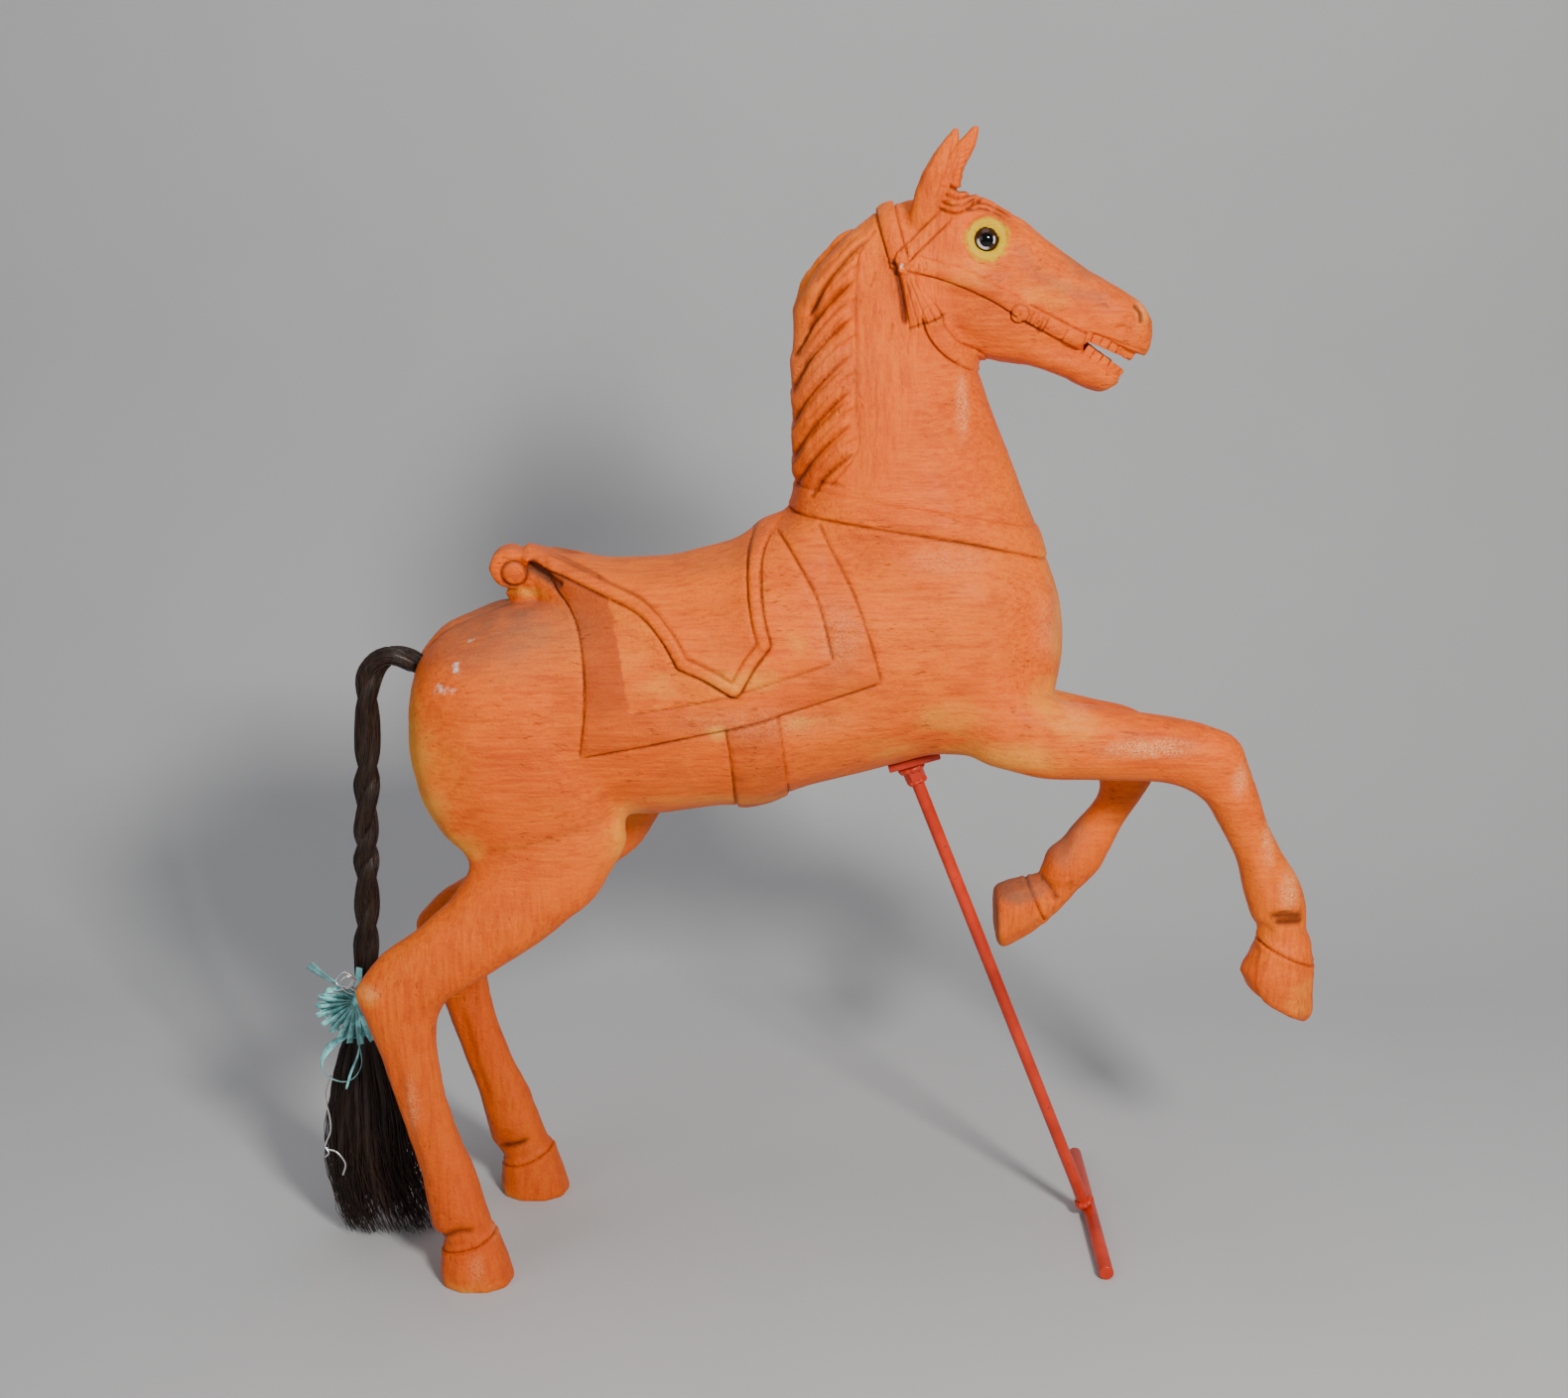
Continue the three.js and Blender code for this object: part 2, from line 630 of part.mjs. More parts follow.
/** The twisted length of the tail, from the rump down to the bow. */
function braid(grow) {
  const points = TAIL_ROUTE.map(([x, z]) => new THREE.Vector3(x, 0, z));
  const line = new THREE.CatmullRomCurve3(points);
  const { radius: plainRadius, lobe, turns, sides, steps } = BRAID;
  const rings = [];
  for (let i = 0; i <= steps; i += 1) {
    const centre = line.getPointAt(i / steps);
    const along = line.getTangentAt(i / steps);
    const across = new THREE.Vector3(-along.z, 0, along.x);
    const twist = (2 * Math.PI * turns * i) / steps;
    const ring = [];
    for (let j = 0; j < sides; j += 1) {
      const angle = (2 * Math.PI * j) / sides;
      const radius = plainRadius * (1 + lobe * Math.cos(2 * angle - twist)) + grow;
      const point = centre.clone().addScaledVector(across, radius * Math.cos(angle));
      point.y += radius * Math.sin(angle);
      ring.push(point);
    }
    rings.push(ring);
  }
  return loft(rings);
}

function tail(grow) {
  return braid(grow).add(limb(TUFT, { sides: 8, steps: 5, grow }));
}

/** One flat petal of the bow, seen from the side, from the knot outward. */
function petal(degrees, length, y) {
  const angle = THREE.MathUtils.degToRad(degrees);
  const along = new THREE.Vector2(Math.cos(angle), Math.sin(angle));
  const across = new THREE.Vector2(-along.y, along.x);
  const stations = PETAL_STATIONS.map(([far, wide, half]) => {
    const x = BOW.x + along.x * far * length;
    const z = BOW.z + along.y * far * length;
    const reachX = (across.x * wide * PETALS.width) / 2;
    const reachZ = (across.y * wide * PETALS.width) / 2;
    return [x - reachX, z - reachZ, x + reachX, z + reachZ, half, y];
  });
  return limb(stations, { sides: 4, steps: 2, power: 2 });
}

/** A strip of ribbon standing on edge along a route that starts at the knot. */
function ribbon({ route, width, steps }) {
  const line = new THREE.CatmullRomCurve3(route.map(([x, y, z]) => {
    return new THREE.Vector3(BOW.x + x, BOW.y + y, BOW.z + z);
  }));
  const rings = [];
  for (let i = 0; i <= steps; i += 1) {
    const centre = line.getPointAt(i / steps);
    const along = line.getTangentAt(i / steps);
    const across = new THREE.Vector3(-along.z, 0, along.x).setLength(RIBBON_THICKNESS / 2);
    const edge = new THREE.Vector3(0, width / 2, 0);
    rings.push([
      centre.clone().sub(across).sub(edge),
      centre.clone().add(across).sub(edge),
      centre.clone().add(across).add(edge),
      centre.clone().sub(across).add(edge),
    ]);
  }
  return loft(rings);
}

function ribbonBow() {
  const { x, y, z } = BOW;
  const parts = [
    ball([x, 0, z], BOW_WRAP, 0, 8),
    ball([x, y - KNOT.out, z], [KNOT.radius, KNOT.radius, KNOT.radius], 0, 6),
    ribbon(BOW_LOOP),
    ribbon(BOW_END),
  ];
  PETALS.degrees.forEach((degrees, i) => {
    const out = PETALS.out + PETALS.layer * (i % 3);
    parts.push(petal(degrees, PETALS.lengths[i % 2], y - out));
  });
  return join(parts).subtract(tail(GAP));
}

function propStand() {
  const top = new THREE.Vector3(...ROD.top);
  const foot = new THREE.Vector3(...ROD.foot);
  const along = foot.clone().sub(top);
  const down = new THREE.Vector3(0, -1, 0);
  const slant = new THREE.Quaternion().setFromUnitVectors(down, along.clone().normalize());
  const rod = new THREE.CylinderGeometry(ROD.radius, ROD.radius, along.length(), ROD.sides);
  rod.applyQuaternion(slant);
  const middle = top.clone().lerp(foot, 0.5);
  rod.translate(middle.x, middle.y, middle.z);

  const collar = new THREE.CylinderGeometry(COLLAR.radius, COLLAR.radius, COLLAR.height, COLLAR.sides);
  collar.applyQuaternion(slant);
  collar.translate(top.x, top.y, top.z + COLLAR.raise);

  const floor = new THREE.BoxGeometry(THROUGH, THROUGH, 2 * BAR.radius);
  floor.translate(BAR.x, BAR.y, -BAR.radius);
  return join([
    bellyPlate(0),
    solid(collar),
    solid(rod),
    crossBar([BAR.x, BAR.y, BAR.radius - BAR.sunk], BAR.radius, BAR.length, BAR.sides),
    ball([foot.x - WELD.back, foot.y, foot.z + WELD.raise], WELD.radii, 0, 8),
  ]).subtract(solid(floor));
}

// ---------------------------------------------------------------- the scene

function node(name, shape, material) {
  const mesh = new THREE.Mesh(geometryOf(shape), material);
  mesh.name = name;
  return mesh;
}

const wood = new THREE.MeshStandardMaterial({ color: 0xb5622a, roughness: 0.42, metalness: 0 });
const glass = new THREE.MeshStandardMaterial({ color: 0x2a1a10, roughness: 0.05, metalness: 0 });
const hair = new THREE.MeshStandardMaterial({ color: 0x1d1310, roughness: 0.55, metalness: 0 });
const satin = new THREE.MeshStandardMaterial({ color: 0x3fa9ac, roughness: 0.35, metalness: 0 });
const redPaint = new THREE.MeshStandardMaterial({ color: 0x9e1512, roughness: 0.3, metalness: 0 });

const carousel = new THREE.Group();
carousel.add(node('horse', horseFigure(), wood));
carousel.add(node('eye_right', eyeball(-1, 0), glass));
carousel.add(node('eye_left', eyeball(1, 0), glass));
carousel.add(node('tail', tail(0).subtract(masses(GAP)), hair));
carousel.add(node('ribbon_bow', ribbonBow(), satin));
carousel.add(node('prop_stand', propStand(), redPaint));

// The origin is the middle of the footprint, on the floor.
const extent = new THREE.Box3().setFromObject(carousel);
const middle = extent.getCenter(new THREE.Vector3());
carousel.position.set(-middle.x, -middle.y, -extent.min.z);

export default carousel;
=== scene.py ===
# %% [markdown]
# # A carved carousel horse
# The real horse is built up from glued blocks of wood, carved, sanded and stained orange. Its saddle,
# cloth, straps and bridle are carved in the same wood. It has glass eyes, a twisted horsehair tail
# tied with a satin bow, and a red steel prop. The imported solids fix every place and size. Here each
# piece gets the finer carving and the finish that the plain solids leave out.

# %% Load the frame
import math

import bpy
import numpy as np
from mathutils import Matrix, Vector


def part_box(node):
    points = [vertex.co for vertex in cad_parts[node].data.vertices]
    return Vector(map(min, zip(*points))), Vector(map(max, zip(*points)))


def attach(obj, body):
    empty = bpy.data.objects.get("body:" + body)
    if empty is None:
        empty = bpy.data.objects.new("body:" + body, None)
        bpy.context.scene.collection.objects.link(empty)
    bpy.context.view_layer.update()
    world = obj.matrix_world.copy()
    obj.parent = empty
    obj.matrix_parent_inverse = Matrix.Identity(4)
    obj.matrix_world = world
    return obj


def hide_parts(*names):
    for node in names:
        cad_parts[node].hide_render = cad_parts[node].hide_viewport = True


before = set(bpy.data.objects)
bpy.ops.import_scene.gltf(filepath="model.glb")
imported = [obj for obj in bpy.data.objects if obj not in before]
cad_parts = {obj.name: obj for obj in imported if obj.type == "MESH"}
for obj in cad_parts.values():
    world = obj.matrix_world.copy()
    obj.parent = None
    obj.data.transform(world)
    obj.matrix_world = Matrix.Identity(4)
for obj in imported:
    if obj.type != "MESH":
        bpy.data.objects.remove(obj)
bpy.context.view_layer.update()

print("solids:", sorted(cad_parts))

# %% [markdown]
# ## Camera
# The camera stands in front of the horse's right side at head height and looks down a little, which
# shows the top of the saddle and the far legs. It is made first, so that every later step can be
# judged through it. A lens of 50 mm on a 36 mm sensor keeps the proportions natural.

# %% Camera
CAMERA_PLACE = (-0.0238, -2.4694, 1.4)
LOOK_DOWN = math.radians(16.07)
LENS = 50.13
SENSOR = 36

camera_data = bpy.data.cameras.new("camera")
camera_data.lens = LENS
camera_data.sensor_width = SENSOR
camera_data.sensor_fit = "HORIZONTAL"
camera = bpy.data.objects.new("camera", camera_data)
camera.location = CAMERA_PLACE
camera.rotation_euler = (math.pi / 2 - LOOK_DOWN, 0, 0)
bpy.context.scene.collection.objects.link(camera)
bpy.context.scene.camera = camera
print("camera at", tuple(camera.location))

# %% [markdown]
# ## Helpers
# Operators act on whatever is selected, so each step first deselects everything and then picks its
# own piece. The drawing of the horse is in millimetres from a point under the girth, and the packed
# frame starts at the middle of the footprint, so one shift takes the drawing to the frame.

# %% Helpers
BENCH = np.array([-23.754, -19.354, 0.0])  # from the drawing to the frame, in mm


def place(x, y, z):
    """A point of the drawing, in mm, as a place in the frame, in metres."""
    return Vector(((x + BENCH[0]) / 1000, (y + BENCH[1]) / 1000, z / 1000))


def pick(piece):
    """Makes a piece the only selected and active one."""
    bpy.ops.object.select_all(action="DESELECT")
    piece.hide_set(False)
    piece.select_set(True)
    bpy.context.view_layer.objects.active = piece


def apply_all(piece):
    """Applies a piece's modifiers in order."""
    pick(piece)
    for modifier in list(piece.modifiers):
        bpy.ops.object.modifier_apply(modifier=modifier.name)


def seat(piece):
    """Puts a piece's place into its mesh, so that its object sits at the origin."""
    pick(piece)
    bpy.ops.object.transform_apply(location=True, rotation=True, scale=True)


def points_of(piece):
    """The piece's points as an array, in metres."""
    points = np.empty(len(piece.data.vertices) * 3)
    piece.data.vertices.foreach_get("co", points)
    return points.reshape(-1, 3)


def move_points(piece, points):
    piece.data.vertices.foreach_set("co", points.ravel())
    piece.data.update()


def normals_of(piece):
    normals = np.empty(len(piece.data.vertices) * 3)
    piece.data.vertex_normals.foreach_get("vector", normals)
    return normals.reshape(-1, 3)


def paint(piece, name, values):
    """Stores one number at each point, for a material to read."""
    attribute = piece.data.attributes.get(name) or piece.data.attributes.new(name, "FLOAT", "POINT")
    attribute.data.foreach_set("value", np.asarray(values, np.float32))


def new_mesh_piece(name, points, faces):
    mesh = bpy.data.meshes.new(name)
    mesh.from_pydata([tuple(p) for p in points], [], faces)
    piece = bpy.data.objects.new(name, mesh)
    bpy.context.scene.collection.objects.link(piece)
    return piece


def smoothstep(low, high, values):
    share = np.clip((values - low) / (high - low), 0, 1)
    return share * share * (3 - 2 * share)


def along_route(points, count):
    """Evenly spaced places on a smooth line through some points."""
    points = np.asarray(points, float)
    ends = np.vstack([2 * points[0] - points[1], points, 2 * points[-1] - points[-2]])
    dense = []
    for before, start, stop, after in zip(ends[:-3], ends[1:-2], ends[2:-1], ends[3:]):
        t = np.linspace(0, 1, 24, endpoint=False)[:, None]
        dense.append(0.5 * (2 * start + (stop - before) * t
                            + (2 * before - 5 * start + 4 * stop - after) * t ** 2
                            + (3 * start - before - 3 * stop + after) * t ** 3))
    line = np.vstack(dense + [points[-1:]])
    steps = np.concatenate([[0], np.cumsum(np.linalg.norm(np.diff(line, axis=0), axis=1))])
    wanted = np.linspace(0, steps[-1], count)
    return np.column_stack([np.interp(wanted, steps, line[:, axis]) for axis in range(line.shape[1])])


# %% [markdown]
# ## The rounded figure
# The solid is drawn with few faces, so its limbs are a little faceted, while the real horse is
# sanded round. A copy of the solid is merged and remeshed into even small squares. Smoothing rounds
# the facets off, but plain smoothing also shrinks a shape. So the smoothed shape is smoothed again,
# and what the second and third passes lose is given back.

# %% A fine, even mesh
VOXEL = 0.0022

figure = bpy.data.objects.new("carved_horse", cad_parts["horse"].data.copy())
bpy.context.scene.collection.objects.link(figure)
figure.data.materials.clear()
pick(figure)
bpy.ops.object.mode_set(mode="EDIT")
bpy.ops.mesh.select_all(action="SELECT")
bpy.ops.mesh.remove_doubles(threshold=0.00001)
bpy.ops.object.mode_set(mode="OBJECT")
remesh = figure.modifiers.new("even squares", "REMESH")
remesh.mode = "VOXEL"
remesh.voxel_size = VOXEL
remesh.use_smooth_shade = True
apply_all(figure)
print("squares on the figure:", len(figure.data.polygons))

# %% [markdown]
# A vertex group says how much each point is smoothed. The smoothing reaches far on the trunk and the
# legs, and only a little where the carver left an edge: at the scroll, the ears, the mouth, the
# hooves and round the eyes.

# %% How much each part is rounded
EYE = np.array([219.0, 36.0, 1224.0])
EYE_RADIUS = 14.5


def near(points, centre, reach, soft):
    """1 inside a ball round a place of the drawing, falling to 0 over a soft edge."""
    distance = np.linalg.norm(points - np.asarray(centre), axis=1)
    return 1 - smoothstep(reach, reach + soft, distance)


FARTHEST = 30  # the longest reach of the smoothing, in mm
AROUND_EYE = 2.5
SHARPER = [  # reach kept, place, size, soft edge, side (-1 right, 1 left, 0 both)
    (8.0, (-305, 0, 848), 34, 25, 0),   # scroll of the saddle
    (4.0, (178, 0, 1325), 45, 25, 0),   # ears
    (6.0, (368, 0, 1095), 36, 14, 0),   # mouth
    (9.0, (-507, 0, 366), 6, 26, -1),   # point of the right hock
    (11.0, (-378, 0, 20), 60, 40, -1),  # hooves
    (11.0, (-328, 0, 30), 64, 40, 1),
    (10.0, (584, 0, 395), 66, 40, -1),
    (9.0, (300, 0, 418), 52, 30, 1),
]


def rounding(points):
    """How far each point's smoothing reaches in mm: far on the trunk, little at the mouth and ears."""
    x, y, z = points.T
    side_view = points * (1, 0, 1)
    reach = FARTHEST - 17 * smoothstep(-60, 40, (x - 90) * 0.45 + (z - 1130))
    reach = np.maximum(reach, 20 * near(side_view, (280, 0, 1078), 34, 20))
    reach = np.minimum(reach, FARTHEST - 7 * (1 - smoothstep(470, 600, z)))
    reach = np.minimum(reach, FARTHEST - 8 * (1 - smoothstep(85, 110, x)) * smoothstep(955, 975, z))
    for kept, centre, size, soft, on_side in SHARPER:
        here = near(side_view, centre, size, soft) * (y * on_side >= 0)
        reach = np.minimum(reach, kept + (FARTHEST - kept) * (1 - here))
    beyond_eye = 1 - near(np.abs(points), EYE, 17, 8)
    reach = np.minimum(reach, AROUND_EYE + (FARTHEST - AROUND_EYE) * beyond_eye)
    return np.clip(reach, 1.5, FARTHEST)


def bench_points(piece):
    """The piece's points in millimetres of the drawing."""
    return points_of(piece) * 1000 - BENCH


LEVELS = 60
reaches = rounding(bench_points(figure))
group = figure.vertex_groups.new(name="rounding")
level_of = np.ceil(reaches / FARTHEST * LEVELS).astype(int)
for level in range(1, LEVELS + 1):
    members = np.flatnonzero(level_of == level).tolist()
    if members:
        group.add(members, (level / LEVELS) ** 2, "REPLACE")

# %% [markdown]
# Each of the three smoothings takes a little off. Three times the first shape, less three times the
# second, plus the third, is as round as the first and has its bulk back. The soles stay flat.

# %% Smooth three times and give the loss back
ROUNDS = 430
sharp = points_of(figure)
passes = []
for _ in range(3):
    smooth = figure.modifiers.new("rounding", "SMOOTH")
    smooth.factor = 0.9
    smooth.iterations = ROUNDS
    smooth.vertex_group = "rounding"
    apply_all(figure)
    passes.append(points_of(figure))
first, second, third = passes
rounded = 3 * first - 3 * second + third
flat_sole = 1 - smoothstep(0.0015, 0.012, sharp[:, 2])
rounded[:, 2] += flat_sole * (sharp[:, 2] - rounded[:, 2])
move_points(figure, rounded)
furthest = np.linalg.norm(rounded - sharp, axis=1).max() * 1000
print("furthest move by rounding, mm:", round(float(furthest), 2))

# %% [markdown]
# ## Carving
# On the real horse a knife and a gouge have drawn the saddle's welts, the edges of the cloth, the
# straps, the locks of the mane and the coronets of the hooves. A sculptor would draw each as a line
# on the side of the figure and then cut along it. The same is done here: a line is given in the side
# view, and the points near it are moved in or out along their normals, by a profile that depends on
# their distance from the line.

# %% A finer mesh for the head
def past_the_neck(points):
    """How far each point lies past the line where the neck meets the head, in mm."""
    return (points[:, 0] - 95) * 0.8 + (points[:, 2] - 1130)


pick(figure)
bpy.ops.object.mode_set(mode="EDIT")
bpy.ops.mesh.select_all(action="DESELECT")
bpy.ops.object.mode_set(mode="OBJECT")
centres = np.empty(len(figure.data.polygons) * 3)
figure.data.polygons.foreach_get("center", centres)
centres = centres.reshape(-1, 3) * 1000 - BENCH
on_head = (past_the_neck(centres) > -35) & (centres[:, 2] > 1045)
figure.data.polygons.foreach_set("select", on_head)
bpy.ops.object.mode_set(mode="EDIT")
bpy.ops.mesh.subdivide(number_cuts=1)
bpy.ops.object.mode_set(mode="OBJECT")
print("faces with the finer head:", len(figure.data.polygons))

# %% [markdown]
# ### Measuring on the side view
# A stroke needs three things at each point: how far it is from the line, how far along the line, and
# on which side. A little noise on the distance makes the line wander as a hand-held knife does.

# %% Distances from a line of the side view
def drawn(points, count=48):
    """A smooth line through some points of the side view."""
    return along_route(points, count)


def beside(flat, line, reach=40):
    """Each point's distance from a line in mm, its share of the way along, and its side of the line."""
    line = np.asarray(line, float)
    distance = np.full(len(flat), 1e6)
    along = np.zeros(len(flat))
    sign = np.ones(len(flat))
    close = np.flatnonzero(np.all((flat > line.min(0) - reach) & (flat < line.max(0) + reach), axis=1))
    spots = flat[close]
    best = np.full(len(close), 1e6)
    part = np.zeros(len(close))
    turn = np.ones(len(close))
    lengths = np.linalg.norm(np.diff(line, axis=0), axis=1)
    begun = np.concatenate([[0], np.cumsum(lengths)])
    for start, stop, length, before in zip(line[:-1], line[1:], lengths, begun):
        way = (stop - start) / length
        step = np.clip((spots - start) @ way, 0, length)
        offset = spots - start - step[:, None] * way
        gap = np.hypot(offset[:, 0], offset[:, 1])
        nearer = gap < best
        best[nearer] = gap[nearer]
        part[nearer] = (before + step[nearer]) / begun[-1]
        turn[nearer] = np.sign(way[0] * offset[:, 1] - way[1] * offset[:, 0])[nearer]
    distance[close] = best
    along[close] = part
    sign[close] = turn
    return distance, along, sign


def inside(flat, outline):
    """Whether each point is inside a closed outline."""
    within = np.zeros(len(flat), bool)
    outline = np.asarray(outline, float)
    for (ax, az), (bx, bz) in zip(outline, np.roll(outline, -1, axis=0)):
        if az == bz:
            continue
        crosses = (flat[:, 1] > az) != (flat[:, 1] > bz)
        within ^= crosses & (flat[:, 0] < ax + (flat[:, 1] - az) * (bx - ax) / (bz - az))
    return within


def gap_from(points, place_in_view):
    """How far each point is from a place of the side view."""
    return np.hypot(points[:, 0] - place_in_view[0], points[:, 2] - place_in_view[1])


def lattice_noise(points, size, seed):
    """Smooth random values from -1 to 1 that change over a distance of size mm."""
    table = np.random.default_rng(seed).uniform(-1, 1, 4096)
    place_in_cell = points / size
    cell = np.floor(place_in_cell).astype(np.int64)
    share_of_cell = place_in_cell - cell
    share_of_cell = share_of_cell * share_of_cell * (3 - 2 * share_of_cell)
    total = np.zeros(len(points))
    for corner in np.ndindex(2, 2, 2):
        index = cell + corner
        key = (index[:, 0] * 73856093 ^ index[:, 1] * 19349663 ^ index[:, 2] * 83492791) & 4095
        total += np.where(np.array(corner) == 1, share_of_cell, 1 - share_of_cell).prod(axis=1) * table[key]
    return total


# %% [markdown]
# ### Strokes
# Four profiles make all the carving: a gouged groove, a flat strap, a round welt and a soft hump.

# %% Gouge strokes
def hump(gap, reach):
    """1 on a line or at a place, falling off softly over a reach in mm."""
    return np.exp(-(gap / reach) ** 2)


def groove(distance, width, depth):
    """A cut with a rounded bottom."""
    return -depth * hump(distance, 0.5 * width)


def ends(along, tip=0.08):
    """Fades a stroke out at both its ends."""
    return smoothstep(0, tip, along) * (1 - smoothstep(1 - tip, 1, along))


def strap(distance, half, height, soft=2.0):
    """A flat band with crisp edges."""
    return height * (1 - smoothstep(half - 0.4 * soft, half + 0.6 * soft, distance))


def roll(distance, half, height):
    """A band with a round top, such as a welt."""
    return height * np.sqrt(np.clip(1 - (distance / half) ** 2, 0, 1))


# %% [markdown]
# ### The tack, as drawn on the side
# The outlines are the same as on the solid, so that the crisp edges land on its soft steps.

# %% Lines of the tack
CLOTH_BACK = drawn([(-268, 845), (-240, 815), (-226, 780), (-222, 722), (-229, 659)])
CLOTH_LOWER = drawn([(-229, 659), (-132, 679), (-47, 698), (17, 717), (109, 746)])
CLOTH_FRONT = drawn([(109, 746), (96, 792), (79, 839), (54, 886), (37, 918)])
CLOTH = np.vstack([CLOTH_BACK, CLOTH_LOWER, CLOTH_FRONT, [(37, 1000), (-268, 1000)]])
BORDER_BACK = drawn([(-214, 858), (-200, 838), (-185, 787), (-171, 712)])
BORDER_LOWER = drawn([(-171, 712), (-89, 726), (-30, 742), (55, 771)])
BORDER_FRONT = drawn([(55, 771), (36, 839), (8, 886), (-9, 906)])
PANEL = np.vstack([BORDER_BACK, BORDER_LOWER, BORDER_FRONT, [(-6, 1000), (-214, 1000)]])
FLAP_BACK = drawn([(-296, 872), (-250, 858), (-205, 842), (-160, 824), (-132, 798), (-113, 768)])
FLAP_LOWER = drawn([(-113, 768), (-86, 757), (-55, 739)])
FLAP_POINT = drawn([(-55, 739), (-40, 766), (-22, 790)])
FLAP_FRONT = drawn([(-22, 790), (-29, 818), (-33, 860), (-28, 892), (-8, 925)])
WELTS = [FLAP_BACK, FLAP_LOWER, FLAP_POINT, FLAP_FRONT]
FLAP = np.vstack([*WELTS, [(-8, 1000), (-296, 1000), (-296, 872)]])
GIRTH = drawn([(-36, 705), (-28, 640), (-22, 550)])
BREAST_STRAP = drawn([(12, 938), (105, 928), (200, 912), (270, 893), (340, 866)])
CROWN_STRAP = drawn([(108, 1275), (114, 1240), (125, 1200)])
BROW_STRAP = drawn([(128, 1205), (158, 1233), (184, 1258)])
CHEEK_STRAP = drawn([(136, 1200), (187, 1186), (232, 1166), (262, 1147)])
BIT_STRAP = drawn([(262, 1147), (330, 1112)])
THROAT_STRAP = drawn([(160, 1146), (168, 1124), (186, 1105), (216, 1088)])
DISC = (257, 1145)
BIT_DIRECTION = (0.889, -0.457)
ROSETTE = (127, 1199)

# %% Lines of the mane and the head
MANE_EDGE = drawn([(98, 1232), (82, 1206), (79, 1161), (79, 1103), (80, 1041), (82, 999), (52, 956)])
MANE_CUTS = [
    ((94, 1226), (30, 1144)), ((81, 1184), (16, 1098)), ((79, 1145), (11, 1058)),
    ((78, 1105), (9, 1016)), ((77, 1066), (9, 976)), ((79, 1030), (13, 948)), ((80, 996), (32, 944)),
]
FORELOCK_CUTS = [
    [(164, 1258), (180, 1252), (191, 1252), (205, 1259), (218, 1267)],
    [(168, 1265), (182, 1259), (195, 1260), (210, 1267)],
    [(172, 1272), (187, 1266), (200, 1268), (212, 1272)],
    [(178, 1279), (192, 1273), (205, 1274)],
    [(194, 1253), (213, 1255), (229, 1251), (243, 1243)],
    [(202, 1261), (219, 1260), (235, 1253), (249, 1244)],
]
FACE_CREST = drawn([(256, 1214), (272, 1190), (302, 1174), (326, 1166), (352, 1162)])
NOSTRIL = drawn([(383, 1153), (391, 1144), (392, 1131)])
LIP_UPPER = drawn([(326, 1124), (334, 1123), (361, 1114), (389, 1104), (404, 1100)])
LIP_LOWER = drawn([(326, 1098), (332, 1099), (350, 1086), (369, 1070), (378, 1064)])
MOUTH_CORNER = drawn([(334, 1123), (329, 1112), (331, 1099)])

# %% Lines of the legs and the haunch
HAUNCH_CREASE = drawn([(-372, 538), (-337, 546), (-280, 560), (-224, 577), (-167, 600)])
NEAR_LEG_CUTS = [
    drawn([(-412, 42), (-381, 50), (-364, 55), (-337, 68)]),
    drawn([(552, 427), (580, 414), (618, 397)]),
]
NEAR_LEG_CREASES = [
    drawn([(-424, 58), (-402, 68), (-384, 77), (-360, 74)]),
    drawn([(552, 463), (577, 465), (604, 462)]),
    drawn([(560, 455), (582, 456), (605, 454)]),
]
FAR_LEG_CUTS = [
    drawn([(-364, 40), (-335, 47), (-318, 54), (-294, 66)]),
    drawn([(297, 444), (308, 422), (320, 396)]),
]
FAR_LEG_CREASES = [
    drawn([(-372, 66), (-356, 71), (-322, 84)]),
    drawn([(310, 452), (325, 440), (338, 418)]),
]
TENDONS = [  # line and side
    (drawn([(-456, 330), (-441, 220), (-418, 110)]), -1),
    (drawn([(540, 566), (552, 520), (566, 478)]), -1),
    (drawn([(-416, 300), (-395, 200), (-368, 110)]), 1),
    (drawn([(352, 520), (336, 470)]), 1),
]
WRINKLED = [((-404, 90), -1), ((578, 468), -1), ((-352, 88), 1), ((350, 446), 1)]
HOOF_ARRIS = drawn([(556, 425), (549, 400), (549, 377), (562, 350)])
SWELLS = [  # place in the side view, reach, rise, side
    ((335, 468), 17, 5.0, 1), ((374, 508), 20, -2.0, 1), ((366, 545), 20, -1.5, 1),
    ((-296.5, 881), 4.5, 3.2, 0),
    ((-285, 818), 22, 4.0, 0),
    ((578, 482), 22, 2.6, -1), ((554, 444), 9, -6.0, -1), ((506, 618), 12, -1.0, -1),
    ((602, 437), 10, -1.2, -1), ((-388, 96), 22, 2.0, -1),
    ((-410, 58), 9, -3.0, -1), ((345, 452), 20, 3.0, 1), ((331, 437), 8, -4.5, 1),
    ((366, 424), 10, -2.0, 1),
    ((-345, 100), 20, 2.4, 1), ((-360, 74), 9, -3.0, 1), ((506, 668), 20, 1.8, -1),
    ((-482, 352), 22, 1.2, -1),
]
print("cuts in the mane and the forelock:", len(MANE_CUTS), len(FORELOCK_CUTS))

# %% [markdown]
# ### The cuts, added up
# One function adds all the strokes together, so that it can be asked again for the final mesh, where
# the finish needs to know how deep each point lies.


# %% Height of the tack
CLOTH_RISE = 1.7
GIRTH_HALF = 29  # half the width of the girth
BREAST_HALF = 13.5
WELT_HALF, WELT_RISE = 6.8, 2.6


